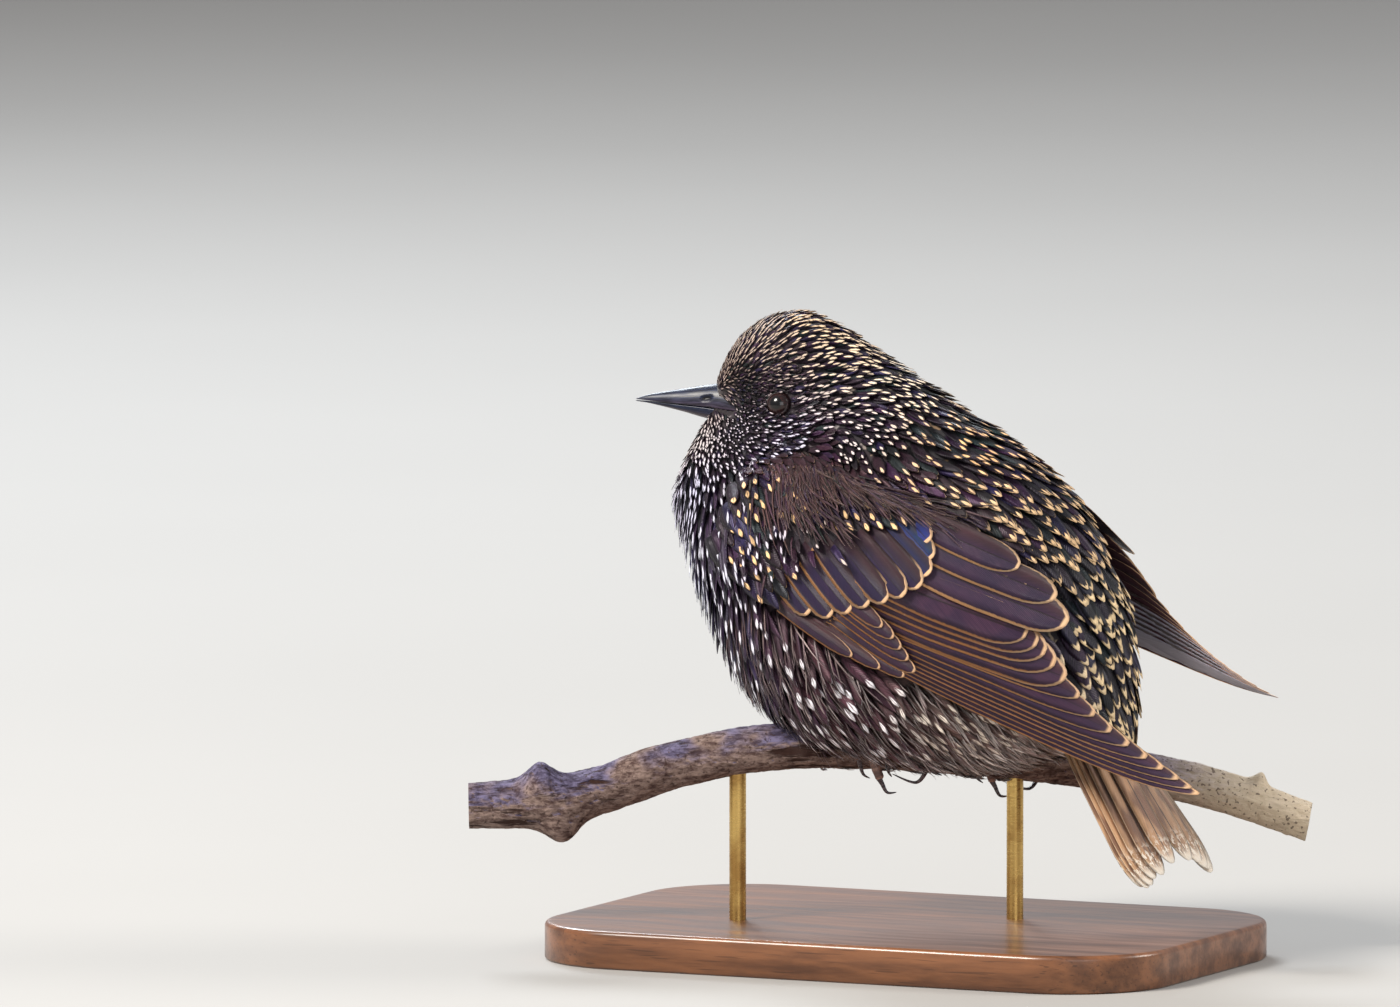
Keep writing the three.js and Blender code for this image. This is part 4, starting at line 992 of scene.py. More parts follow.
def keep_off_perch(points, clear):
    """Points inside the perch moved straight out from its centre line to the bark, plus a clearance."""
    along, out, up = perch_offset(points)
    away = np.hypot(out, up)
    least = PERCH_RADIUS * perch_value(along, PERCH_GIRTH) + clear
    grow = np.where(away < least, least / np.maximum(away, 0.5), 1.0) - 1
    return points + PERCH_NEAR * (out * grow)[..., None] + UPRIGHT * (up * grow)[..., None]


def keep_off_tail(points, above):
    """Points near the tail kept over its upper face or, where above is false, under its lower face."""
    run = (points - TAIL_ROOT) @ TAIL_ALONG
    height = (points - TAIL_ROOT) @ TAIL_UP
    near = smooth(run, 18, 28) * (1 - smooth(np.abs(points[..., 1]), 20, 26))
    lift = np.where(above, np.maximum(TAIL_HIGH + 0.4 - height, 0), np.minimum(TAIL_LOW - 0.4 - height, 0))
    return points + TAIL_UP * (lift * near)[..., None]


def coat_roots(first, last):
    """Roots in rows across the body from one section to another; along a row they follow the spacing there."""
    sections = []
    angles = []
    turn = np.linspace(-np.pi, np.pi, 721)
    section = first
    offset = 0.25
    while section < last:
        ring = body_point(section, turn)
        reach = np.linalg.norm(body_point(section + 0.02, turn) - ring, axis=-1) / 0.02
        girth = np.linalg.norm(np.gradient(ring, axis=0), axis=-1)
        spacing = coat_looks(ring)[:, SPACING]
        step = 0.85 * np.average(spacing, weights=girth) / np.average(reach, weights=girth)
        total = np.cumsum(girth * step * reach / (0.87 * spacing ** 2))
        count = max(3, int(round(total[-1])))
        angles.append(np.interp((np.arange(count) + offset) * total[-1] / count, total, turn))
        sections.append(np.full(count, section))
        section += step
        offset = 1 - offset
    return np.concatenate(sections), np.concatenate(angles)


def eye_frame(side):
    """Place of an eye on the face, with the lie and the outward normal there."""
    return body_frame(EYE_SECTION, side * EYE_ANGLE)


EYE_PLACES = np.stack([eye_frame(side)[0] for side in (-1, 1)])


def from_eyes(points):
    """Distance of points from the nearer eye."""
    return np.linalg.norm(points[..., None, :] - EYE_PLACES, axis=-1).min(-1)


def bill_measures(points):
    """Head points by the bill: ahead of its root, aside, up, share of the way out to its surface, middle height."""
    x = points[..., 0] - HEAD_PIVOT_X
    y = points[..., 1]
    cos, sin = np.cos(HEAD_TURN), np.sin(HEAD_TURN)
    ahead = BILL_ROOT[0] - HEAD_PIVOT_X - x * cos - y * sin
    aside = y * cos - x * sin
    up = points[..., 2] - BILL_ROOT[1]
    index = np.interp(ahead, BILL_STATIONS[:, 0], np.arange(len(BILL_STATIONS)))
    top, bottom, half = (between(BILL_STATIONS, index, k) for k in (1, 3, 4))
    middle = (top + bottom) / 2
    away = np.hypot(aside / half, (up - middle) / ((top - bottom) / 2))
    return ahead, aside, up, np.where(ahead > BILL_STATIONS[0, 0], away, 9.0), middle


def bare_bill(points):
    """Whether points are by the bare part of the bill: close to it, in front of the slanting edge of the face
    feathers and above the feathers of the chin."""
    ahead, _, up, away, _ = bill_measures(points)
    start, end = FEATHER_EDGE
    line = start[1] + (end[1] - start[1]) * (ahead - start[0]) / (end[0] - start[0])
    return (ahead > start[0]) & (up < line) & (up > CHIN_EDGE) & (away < 1.5)


def moved_from_bill(points, grow):
    """Points moved away from the bill's middle line, to grow times their distance from it."""
    _, aside, up, _, middle = bill_measures(points)
    across = np.array([-np.sin(HEAD_TURN), np.cos(HEAD_TURN), 0])
    rise = (up - middle) * (grow - 1)
    return points + across * (aside * (grow - 1))[..., None] + UPRIGHT * rise[..., None]


def keep_on_bill(points, clear):
    """Points inside the bill moved out to its surface, plus a clearance."""
    away = bill_measures(points)[3]
    return moved_from_bill(points, np.where(away < 1 + clear, (1 + clear) / np.maximum(away, 0.25), 1.0))


def sink_in_bill(points):
    """Points by the bare part of the bill moved inside it."""
    away = bill_measures(points)[3]
    return moved_from_bill(points, np.where(bare_bill(points) & (away > 0.8), 0.8 / away, 1.0))


def coat_paths(sections, angles, length, lean, looks, stations):
    """Middle lines of feathers: from a root sunk by the coat's depth they rise along the lie to the coat's face,
    and past the last section they go straight on."""
    step = 0.02
    place = body_point(sections, angles)
    reach = np.linalg.norm(body_point(sections + step, angles) - place, axis=-1) / step
    girth = np.linalg.norm(body_point(sections, angles + step) - place, axis=-1) / step
    along = sections[:, None] + (length * np.cos(lean) / reach)[:, None] * stations
    around = angles[:, None] + (length * np.sin(lean) / np.maximum(girth, 2))[:, None] * stations
    held = np.minimum(along, LAST_SECTION - 0.3)
    place, lie, normal = body_frame(held, around)
    depth, lift = (looks[:, k, None] for k in (DEPTH, LIFT))
    stray = RANDOM.normal(0, 0.12, len(sections))[:, None]
    height = -depth * (1 - stations) ** 1.3 + lift * stations ** 2 + stray * depth * stations
    return place + lie * ((along - held) * reach[:, None])[..., None] + normal * height[..., None], normal


def blade_frames(centres, normals, roll):
    """Side and blade normal of each row: square to the path, then rolled about it by an angle."""
    tangent = unit(np.gradient(centres, axis=1))
    side = unit(np.cross(normals, tangent))
    over = np.cross(tangent, side)
    cos, sin = np.cos(roll)[:, None, None], np.sin(roll)[:, None, None]
    return side * cos + over * sin, over * cos - side * sin


def blade_widths(half, point, stations):
    """Half width along a small feather: rounded where pointedness is 0, drawn to a point where it is 1."""
    rounded = np.sqrt(1 - np.clip((stations - 0.6) / 0.41, 0, 1) ** 2)
    pointed = 1 - 0.95 * np.clip((stations - 0.5) / 0.5, 0, 1) ** 1.4
    rooted = 0.5 + 0.5 * smooth(stations, 0, 0.4)
    return half[:, None] * rooted * (rounded * (1 - point[:, None]) + pointed * point[:, None])


def varied(count, low, high):
    """Random shares for a number of feathers, as a column."""
    return RANDOM.uniform(low, high, count)[:, None]


def feather_looks(looks, gloss):
    """Colours and marks of each feather: the looks of its place, varied, with a share of a gloss tint."""
    count = len(looks)
    tint = GLOSS_TINTS[RANDOM.integers(0, len(GLOSS_TINTS), count)]
    share = gloss[:, None] * varied(count, 0, 1) ** 2
    dark = looks[:, DARK] * varied(count, 0.65, 1.2) * (1 - share) + tint * share
    pale = looks[:, PALE] * varied(count, 0.78, 1.08)
    marked = RANDOM.uniform(0, 1, count) < looks[:, SHARE]
    spot = looks[:, SPOT] * RANDOM.uniform(0.85, 1.15, (count, 3)) ** np.array([0.1, 1, 1])
    return {
        "dark": opaque(dark),
        "pale": opaque(pale),
        "mark": np.where(marked[:, None], spot, NO_SPOT),
        "fringe": looks[:, FRINGE] * marked * RANDOM.uniform(0.7, 1.2, count),
        "chance": RANDOM.uniform(0, 1, count),
    }


def coat_piece(name, first, last, stations, columns, material):
    """One ring of the coat: all feathers rooted between two sections, each with a stray place, length and lean,
    and some of those low on the belly standing off."""
    sections, angles = coat_roots(first, last)
    place = body_point(sections, angles)
    spacing = coat_looks(place)[:, SPACING]
    count = len(sections)
    sections = sections + RANDOM.normal(0, 0.02, count) * spacing
    angles = angles + RANDOM.normal(0, 0.16, count) * spacing / np.maximum(np.abs(place[:, 1]), 8)
    looks = coat_looks(body_point(sections, angles))
    length = looks[:, LENGTH] * RANDOM.uniform(0.82, 1.15, count)
    low = bump(np.abs(angles), *LOW_ARC, 0.3) * bump(sections, 7, 10.5, 1.2)
    upward = bump(np.abs(angles), *UPWARD_ARC, 0.35) * bump(sections, 1.6, 6.2, 1.0)
    upward = upward * (1.15 - 0.35 * smooth(sections, 3, 5))
    lean = RANDOM.normal(0, 0.1, count) + (0.45 * low - upward) * np.sign(angles)
    looks[:, LIFT] = looks[:, LIFT] + RANDOM.uniform(0, 1.6, count) * low * (RANDOM.uniform(0, 1, count) < 0.3)
    return lay_feathers(name, sections, angles, looks, length, lean, stations, columns, material, 0.5)


def lay_feathers(name, sections, angles, looks, length, lean, stations, columns, material, over_wing):
    """Feathers from their roots on the plumage. Roots under a wing, by an eye, on the bare bill, in the perch or
    under the tail are left out. Vanes are shortened by an eye, lifted over the front of a wing, sunk under its
    rear part, and kept off bill, perch and tail."""
    first, last = sections.min(), sections.max()
    place, _, normal = body_frame(sections, angles)
    root = place - normal * (looks[:, DEPTH] * 0.8)[:, None]
    height, _, top, inner, sideways, run = nearest_on_wings(root)
    hidden = np.where(run < 50, 1.0, 7.0)
    covered = (inner > hidden) & (sideways < 2.5) & (height < top + 0.5) & (height > -14)
    _, out, up = perch_offset(place)
    below = (sections > UNDERTAIL_START) & (np.abs(angles) > np.radians(100))
    keep = ~covered & (np.hypot(out, up) > PERCH_RADIUS * 0.9) & (from_eyes(place) > EYE_CLEAR[0])
    keep &= ~bare_bill(place) & ~below
    sections, angles, looks, length, lean = (v[keep] for v in (sections, angles, looks, length, lean))

    for _ in range(3):
        centres, normals = coat_paths(sections, angles, length, lean, looks, stations)
        over_eye = (from_eyes(centres) < EYE_CLEAR[1]).any(1)
        length = np.where(over_eye, length * 0.6, length)
    sections, angles, looks, centres, normals = (v[~over_eye] for v in (sections, angles, looks, centres, normals))

    height, out, top, inner, sideways, run = nearest_on_wings(centres)
    cover = smooth(inner, -0.5, 1.5) * (1 - smooth(sideways, 1.5, 4)) * (height > -10) * (stations > 0)
    behind = smooth(run, 46, 54)
    lift = np.maximum(top + over_wing - height, 0) * cover * (1 - behind)
    sink = np.maximum(height - WING_INSIDE + 0.8, 0) * cover * behind
    lift, sink = (np.maximum.accumulate(v, axis=1) for v in (lift, sink))
    centres = keep_off_perch(keep_on_bill(centres + out * (lift - sink)[..., None], 0.05), 0.6)
    centres = keep_off_tail(centres, (np.abs(angles) < np.radians(95))[:, None])

    count = len(sections)
    sides, over = blade_frames(centres, normals, RANDOM.normal(0, 0.13, count))
    half = blade_widths(looks[:, HALF] * RANDOM.uniform(0.85, 1.15, count), looks[:, POINT], stations)
    unwrap = stacked(angles / (2 * np.pi) + 0.5, (sections - first) / (last - first))
    patch = {"place": 0.01 + 0.98 * np.clip(unwrap, 0, 1), "size": np.full((count, 2), PATCH)}
    gloss = np.where(np.abs(angles) < np.radians(100), 0.5, 0.35) * (1 - 0.5 * smooth(sections, 8, 10))
    return vane_mesh(name, centres, sides, over, half, VANE_THICK * (1 - 0.6 * stations), 0.16, columns, stations,
                     material, feather_looks(looks, gloss), patch)


def hair_piece(name, count, rows, edges, length, half, shades, lift, slope, over_wing, material):
    """Loose hair-like feather ends on both sides, at random roots between two sections and two edges, each edge
    given by its degrees at the first and at the last section; two shades mixed from the first section to the last."""
    share = RANDOM.uniform(0, 1, count)
    level = RANDOM.uniform(0, 1, count)
    side = np.where(RANDOM.uniform(0, 1, count) < 0.5, -1, 1)
    near, far = (edge[0] + (edge[1] - edge[0]) * share for edge in edges)
    sections = rows[0] + (rows[1] - rows[0]) * share
    angles = side * np.radians(near + (far - near) * level)
    looks = coat_looks(body_point(sections, angles))
    looks[:, HALF] = half
    looks[:, POINT] = 1
    looks[:, LIFT] = lift * RANDOM.uniform(0.3, 1.2, count)
    looks[:, SHARE] = 0
    tone = varied(count, 0, 1)
    start, end = (linear(*a) * (1 - tone) + linear(*b) * tone for a, b in shades)
    looks[:, DARK] = start * (1 - share)[:, None] + end * share[:, None]
    size = RANDOM.uniform(length[0], length[1], count)
    lean = RANDOM.normal(slope, 0.16, count) * side
    return lay_feathers(name, sections, angles, looks, size, lean, COAT_STATIONS, COLUMNS_PLAIN, material, over_wing)


def skin_piece(material):
    """Skin under the coat: the plumage surface sunk by most of the coat's depth, and sunk below the wings."""
    rows = np.concatenate([[0.35], np.linspace(0.6, LAST_SECTION - 0.15, 190)])[:, None]
    section, angle = floats(rows, np.linspace(-np.pi, np.pi, 160, endpoint=False))
    place, _, normal = body_frame(section, angle)
    looks = coat_looks(place)
    points = place - normal * (looks[..., DEPTH] * 0.9)[..., None]
    height, out, _, inner, sideways, _ = nearest_on_wings(points)
    under = smooth(inner, -2.5, 1.0) * (1 - smooth(sideways, 2, 4)) * (height > -12)
    points = points - out * (np.maximum(height - WING_INSIDE + 2.6, 0) * under)[..., None]
    skin = shell("skin", sink_in_bill(points), material)
    set_uv(skin, "OFBake", 0.01 + 0.98 * stacked(angle / (2 * np.pi) + 0.5, section / (LAST_SECTION + 0.1)))
    set_values(skin, dark=opaque(looks[..., DARK] * 0.6), pale=opaque(looks[..., PALE]))
    return skin


# Wings, on their chart: tips as run and across
FLIGHT_TIPS = np.array([
    (124.4, -0.9), (122.0, 0.4), (118.4, 2.0), (114, 3.6), (109.5, 5), (104.5, 6.6), (99.5, 8.4), (94.5, 10.8),
    (89.5, 13.6), (85, 16.6), (81.5, 18.9), (78.5, 20.6), (76, 21.8), (73, 22.8), (79.8, 29), (74.6, 34.4), (64, 38),
])
# Groups of flight feathers: first and last, lowest root across, root spacing, width, widening, length of the
# rounded end, bow, raised by; width of the buff edge, of the pale rim, dark and edge colour
FLIGHT_GROUPS = {
    "primaries": (0, 9, 1.2, 0.95, 5.6, 0.25, 20, 2.2, 0, 0.048, 0.035, (62, 34, 46), (216, 152, 96)),
    "secondaries": (9, 14, 9.4, 1.75, 9.5, 0.2, 9, 0.6, 0, 0.055, 0.045, (66, 38, 50), (208, 142, 86)),
    "tertials": (14, 17, 23.0, 4.4, 11.5, -1.6, 8, 0.0, 0.3, 0.065, 0.06, (54, 32, 44), (220, 164, 112)),
}
FLIGHT_STATIONS = np.concatenate([np.linspace(0, 0.72, 8), [0.79, 0.85, 0.9, 0.94, 0.97, 0.99, 1.0]])
FLIGHT_LOWEST = -1.15
FLIGHT_STEP = 0.275
SILVERY = 6

# Rows of coverts: tips, length, width, slope in degrees from the first to the last, rounded end, lift
COVERT_ROWS = {
    "alula": ([(49.8, 2.6), (43.5, 1.8), (36, 1.2)], 22, 4.0, (-3, -3), 7, 0.5),
    "primary": ([(52, 5.0), (49.5, 7.0), (47, 8.8), (44.5, 10.4), (41, 11.6)], 24, 4.4, (-5, -9), 6, 0.6),
    "greater": ([(22.4, 5.2), (28, 7.6), (32.2, 11), (36, 14.4), (40, 17.4), (43.6, 20.4), (46.2, 23.6), (46.8, 27),
                 (45.6, 30.6), (43, 34)], 19, 6.6, (-20, -20), 4.5, 0.6),
}
COVERT_STATIONS = np.array([0, 0.3, 0.55, 0.72, 0.84, 0.93, 0.98, 1.0])
# Blue and green of the three uppermost greater coverts, and how strong their blue strip is
BRIGHT_COVERTS = np.array([linear(26, 26, 48), linear(16, 44, 66), linear(14, 36, 104)])
BRIGHT_STRIPS = (0.35, 0.6, 0.7)
# Tips of the lowest row of the small coverts, from the bend back
SMALL_COVERT_LINE = np.array([
    (-3, 10.5), (0.5, 14.5), (5, 18.2), (11, 21), (17, 23.6), (23, 26.4), (29, 29.4), (34, 32.2), (37, 35),
])
SMALL_COVERT_ROWS = 9
SMALL_COVERT_STEP = np.array((-1.4, 2.3))
SMALL_COVERT_SPACING = 3.7
MARKED_ROWS = 4


def wing_blades(side, roots, tips, half, rounding, bend, height, tilt, stations):
    """Vanes on a wing from their roots to their tips, bowed by a bend, with a rounded end.
    height is a function of the share of the length and the place across, tilt turns each vane about its middle."""
    half, rounding, bend = (np.broadcast_to(v, len(tips))[:, None] for v in (half, rounding, bend))
    length = np.linalg.norm(tips - roots, axis=1)[:, None]
    along = (tips - roots) / length
    sag = bend * 4 * stations * (1 - stations)
    run = roots[:, 0:1] + along[:, 0:1] * length * stations - along[:, 1:2] * sag
    across = roots[:, 1:2] + along[:, 1:2] * length * stations + along[:, 0:1] * sag
    level = height(stations[None, :], across)
    centres = wing_point(side, run, across, level)
    beside = wing_point(side, run - along[:, 1:2] * 0.5, across + along[:, 0:1] * 0.5, level)
    out = unit(wing_point(side, run, across, level + 1) - centres)
    sides = unit(beside - centres)
    cos, sin = np.cos(tilt), np.sin(tilt)
    past = np.clip((stations - 1 + rounding / length) / (rounding / length), 0, 1)
    width = half * (0.8 + 0.2 * smooth(stations, 0, 0.5)) * np.sqrt(1.03 - past ** 2)
    return centres, sides * cos + out * sin, out * cos - sides * sin, width


def plain_looks(count, dark, pale, mark, fringe=0.0, shade=(0.85, 1.12)):
    """Looks of feathers that share a dark and a pale screen colour and a mark, each a little lighter or darker."""
    vary = varied(count, *shade)
    return {
        "dark": opaque(linear(*dark) * vary),
        "pale": opaque(linear(*pale) * vary),
        "mark": np.tile(np.array(mark, float), (count, 1)),
        "fringe": np.full(count, float(fringe)),
        "chance": RANDOM.uniform(0, 1, count),
    }


def strip_patch(count):
    """Cells of the unwrap for a few large vanes, one strip each."""
    place = stacked((np.arange(count) + 0.5) / count, 0.5)
    return {"place": place, "size": np.tile([0.9 / count, 0.96], (count, 1))}


def wing_rows(name, blades, looks, thick, camber, stations, material):
    """Rows of large vanes, each with its blades and its looks, as one piece."""
    centres, sides, over, half = (np.concatenate([b[k] for b in blades]) for k in range(4))
    looks = {key: np.concatenate([row[key] for row in looks]) for key in looks[0]}
    return vane_mesh(name, centres, sides, over, half, thick * (1 - 0.5 * stations), camber, COLUMNS_FINE, stations,
                     material, looks, strip_patch(len(centres)))


def flight_piece(side, label, material):
    """Flight feathers of one wing, the longest primary lowest and each next one over it, up to the tertials."""
    blades = []
    looks = []
    for group in FLIGHT_GROUPS.values():
        first, last, low, spacing, width, widening, rounding, bend, raised, edge, fringe, dark, pale = group
        order = np.arange(last - first)
        index = first + order
        roots = stacked(24 + 0.74 * index, low + spacing * order + width / 2)
        level = (FLIGHT_LOWEST + FLIGHT_STEP * index + raised)[:, None]
        blades.append(wing_blades(side, roots, FLIGHT_TIPS[first:last], (width + widening * order) / 2, rounding,
                                  bend, lambda f, _, level=level: level + 0 * f, 0.02, FLIGHT_STATIONS))
        row = plain_looks(len(order), dark, pale, (edge, 0.1, 0), fringe)
        row["mark"][:, 2] = index < SILVERY
        row["chance"] = 0.1 + 0.9 * row["chance"]
        looks.append(row)
    return wing_rows("flight_feathers_" + label, blades, looks, 0.24, 0.02, FLIGHT_STATIONS, material)


def covert_piece(side, label, material):
    """Coverts of one wing, row over row, each overlapping the next one below."""
    blades = []
    looks = []
    for row, (tips, length, width, slope, rounding, lift) in COVERT_ROWS.items():
        angle = np.radians(np.linspace(slope[0], slope[1], len(tips)))
        roots = np.array(tips, float) - length * stacked(np.cos(angle), np.sin(angle))

        def height(f, across, lift=lift):
            return covert_height(across) + lift * (1.7 * f - 0.7) + 0.15

        blades.append(wing_blades(side, roots, tips, width / 2, rounding, 0, height, 0.09, COVERT_STATIONS))
        looks.append(covert_looks(row, len(tips)))
    return wing_rows("coverts_" + label, blades, looks, 0.22, 0.1, COVERT_STATIONS, material)


def covert_looks(row, count):
    """Colours of a row of coverts: thin buff outer edges on dark vanes, blue and green on the upper greater ones."""
    if row != "greater":
        return plain_looks(count, (56, 30, 40), (214, 146, 88), (0.09, 0.08, 0), 0.06)
    made = plain_looks(count, (42, 22, 36), (224, 158, 100), (0.11, 0.14, 0), 0.11)
    made["dark"][-3:] = opaque(BRIGHT_COVERTS)
    made["mark"][-3:, 1] = BRIGHT_STRIPS
    return made


def small_covert_tips():
    """Tips of the small coverts, and the row of each: staggered rows up from the lowest line, and a patch at the
    bend of the wing, all a little out of line."""
    far = np.append(0, np.cumsum(np.linalg.norm(np.diff(SMALL_COVERT_LINE, axis=0), axis=1)))
    rows = []
    for level in range(SMALL_COVERT_ROWS):
        reach = np.arange(SMALL_COVERT_SPACING * (level % 2) / 2, far[-1], SMALL_COVERT_SPACING)
        x, y = (np.interp(reach, far, SMALL_COVERT_LINE[:, k]) + SMALL_COVERT_STEP[k] * level for k in range(2))
        rows.append(stacked(x, y, level))
    rows = np.concatenate(rows)
    rows = rows[(rows[:, 1] < wing_room(rows[:, 0])[1] + 2) & (rows[:, 0] > -7)]
    bend = stacked(np.repeat([-2, 2, 6, 10.5, 15], 4), np.tile([2.0, 5, 8, 11], 5))
    bend = bend + np.tile([(0, 0), (1.8, 0)], (10, 1))
    tips = np.concatenate([rows[:, :2], bend])
    return tips + RANDOM.normal(0, 0.3, tips.shape), np.append(rows[:, 2], np.full(len(bend), 3))


def small_covert_piece(side, label, material):
    """Small drop-shaped coverts in staggered rows above the greater ones, each with a buff tip and a gloss; the
    uppermost rows are smaller and plain."""
    tips, level = small_covert_tips()
    count = len(tips)
    marked = level < MARKED_ROWS
    angle = np.radians(RANDOM.normal(-22, 5, count))
    length = np.where(marked, 10.0, 8.0) * RANDOM.uniform(0.9, 1.1, count)
    roots = tips - length[:, None] * stacked(np.cos(angle), np.sin(angle))
    roots[:, 0] = np.maximum(roots[:, 0], -9 + 0.2 * tips[:, 0])
    front = smooth(-tips[:, 0], -8, 4)[:, None]

    def height(f, across):
        return covert_height(across) + 0.8 + 0.12 * level[:, None] + 0.7 * (1.7 * f - 0.9) - 1.2 * front * (1 - f)

    centres, sides, over, _ = wing_blades(side, roots, tips, 1, 1, 0, height, 0.06, COAT_STATIONS)
    width = np.where(marked, 2.05, 1.6) * RANDOM.uniform(0.85, 1.15, count)
    half = blade_widths(width, RANDOM.uniform(0.55, 0.9, count), COAT_STATIONS)
    looks = plain_looks(count, (36, 22, 34), (248, 202, 148), (0.9, 0.14, 0.72), 0.0, (0.7, 1.25))
    tint = GLOSS_TINTS[RANDOM.integers(0, 3, count)]
    share = varied(count, 0, 0.5) * (varied(count, 0, 1) < 0.65)
    looks["dark"][:, :3] = looks["dark"][:, :3] * (1 - share) + tint * share
    looks["mark"] = looks["mark"] * RANDOM.uniform(0.75, 1.15, (count, 3)) ** np.array([0.1, 1, 1])
    looks["mark"][~marked | (RANDOM.uniform(0, 1, count) < 0.06 + 0.1 * level)] = NO_SPOT
    looks["dark"][~marked, :3] = linear(62, 38, 46)
    unwrap = stacked((tips[:, 0] + 20) / 60, tips[:, 1] / 60)
    patch = {"place": 0.01 + 0.98 * np.clip(unwrap, 0, 1), "size": np.full((count, 2), PATCH)}
    return vane_mesh("small_coverts_" + label, centres, sides, over, half, VANE_THICK * (1 - 0.5 * COAT_STATIONS),
                     0.14, COLUMNS_FINE, COAT_STATIONS, material, looks, patch)


def wing_arm_piece(side, label, material):
    """Flesh and down of the folded wing under its coverts: a flattened shell along the wing's chart."""
    run = np.concatenate([[-8.8], np.linspace(-8, 33, 40), [33.8]])[:, None]
    turn = full_turn(56)
    low, high = wing_room(run)
    low, high = low + 1.2 + 0.25 * np.maximum(run - 10, 0), high - 1.0
    swell = np.sqrt(np.clip(np.minimum(run + 9, 34 - run) / 6, 0.02, 1))
    across = (low + high) / 2 + (high - low) / 2 * np.cos(turn) * swell
    top = covert_height(across) - 0.5
    bottom = WING_INSIDE + 0.5
    height = (top + bottom) / 2 + (top - bottom) / 2 * np.sin(turn) * swell
    points = wing_point(side, run, across, height)
    arm = shell("wing_arm_" + label, points, material)
    set_uv(arm, "OFBake", stacked(np.linspace(0.01, 0.99, len(run))[:, None], turn / 6.5))
    for name, colour in (("dark", (34, 22, 34)), ("pale", (96, 70, 66))):
        set_values(arm, **{name: opaque(linear(*colour) + np.zeros(points.shape))})
    return arm


TAIL_PAIRS = 6
TAIL_LENGTHS = (64.5, 68.0)
# Tips of the pairs, sideways from the middle
TAIL_TIPS = np.array([5.4, 12.0, 15.6, 17.8, 19.4, 20.5])
TAIL_VANE_HALF = 5.4
TAIL_STEP = 0.36
TAIL_STATIONS = np.concatenate([np.linspace(0, 0.78, 9), [0.84, 0.88, 0.92, 0.955, 0.98, 0.993, 1.0]])


def tail_piece(material):
    """Tail feathers: the middle pair on top, each next one out under it; the two halves part at the tips."""
    order = np.repeat(np.arange(TAIL_PAIRS), 2)
    side = np.tile([-1, 1], TAIL_PAIRS)
    outward = order / (TAIL_PAIRS - 1)
    length = TAIL_LENGTHS[0] + (TAIL_LENGTHS[1] - TAIL_LENGTHS[0]) * np.sin(outward * np.pi * 0.62)
    length = length + RANDOM.normal(0, 0.5, len(order))
    root = side * (1.2 + 5.5 * outward)
    reach = side * TAIL_TIPS[order] - root
    top = TAIL_HIGH - TAIL_STEP * (2 * order + (side > 0))
    past = np.clip((TAIL_STATIONS - 0.86) / 0.14, 0, 1)
    half = TAIL_VANE_HALF * (0.45 + 0.55 * smooth(TAIL_STATIONS, 0, 0.6)) * np.sqrt(1.03 - past ** 2)
    half = np.broadcast_to(half, (len(order), len(half)))
    level = top[:, None] + 0.25 * np.sin(TAIL_STATIONS * 3 + order[:, None])
    across = root[:, None] + reach[:, None] * TAIL_STATIONS ** 0.8
    centres = tail_point(length[:, None] * TAIL_STATIONS, across, level)
    tangent = unit(np.gradient(centres, axis=1))
    sides = unit(np.cross(tangent, TAIL_UP))
    sides = sides * np.sign(sides[..., 1:2])
    over = unit(TAIL_UP - tangent * (tangent @ TAIL_UP)[..., None])
    looks = plain_looks(len(order), (112, 74, 54), (196, 150, 110), (0, 0, 0), 0, (0.75, 1.1))
    return vane_mesh("tail_feathers", centres, sides, over, half, 0.3 * (1 - 0.5 * TAIL_STATIONS), 0.05,
                     COLUMNS_FINE, TAIL_STATIONS, material, looks, strip_patch(len(order)))


# Bill, eyes and feet

def bill_half(name, upper, material):
    """Half of the bill: half ovals between the mouth line and the culmen or lower edge, along the bill's stations,
    with a nostril pressed into either side of the upper half."""
    index = np.linspace(0, len(BILL_STATIONS) - 1, 96)
    ahead, top, mouth, bottom, half = (between(BILL_STATIONS, index, k) for k in range(5))
    top, mouth, bottom, half = (np.append(v, v[-1] * 0.5)[:, None] for v in (top, mouth, bottom, half))
    ahead = np.append(ahead, BILL_TIP)[:, None]
    mouth = mouth + (BILL_SLIT if upper else -BILL_SLIT)
    arc = np.linspace(0, np.pi, 41)
    wide = np.append(np.cos(arc), [-0.6, 0, 0.6])
    high = np.append(np.sin(arc) ** 0.92, [-0.01, -0.02, -0.01])
    side = half * wide
    up = mouth + high * ((top if upper else bottom) - mouth)
    pit = 0 * side
    if upper:
        place, level, long, tall, deep = NOSTRIL
        slant = up - level + (ahead - place) * 0.16
        pit = np.exp(-((ahead - place) / long) ** 4 - (slant / tall) ** 2) * (np.abs(wide) > 0.2)
        side = side - np.sign(side) * deep * pit
    thing = shell(name, turn_head(stacked(BILL_ROOT[0] - ahead, side, BILL_ROOT[1] + up)), material)
    run = (ahead - ahead[0]) / (ahead[-1] - ahead[0])
    set_uv(thing, "Length", stacked(np.linspace(0, 1, len(wide)), run))
    low = 0.35 * smooth(-high, -0.5, 0.1) if upper else 0.8 * smooth(high, 0.3, 1.0)
    brown = (low * (1 - 0.5 * run))[..., None]
    dark = linear(10, 14, 30) * (1 - brown) + linear(54, 38, 44) * brown
    pale = linear(28, 38, 68) * (1 - brown) + linear(132, 104, 108) * brown
    # mark carries painted shade in the nostril pit, following the pit's depth
    set_values(thing, dark=opaque(dark), pale=opaque(pale), mark=stacked(np.clip(pit * 1.3, 0, 1), 0, 0))
    return thing


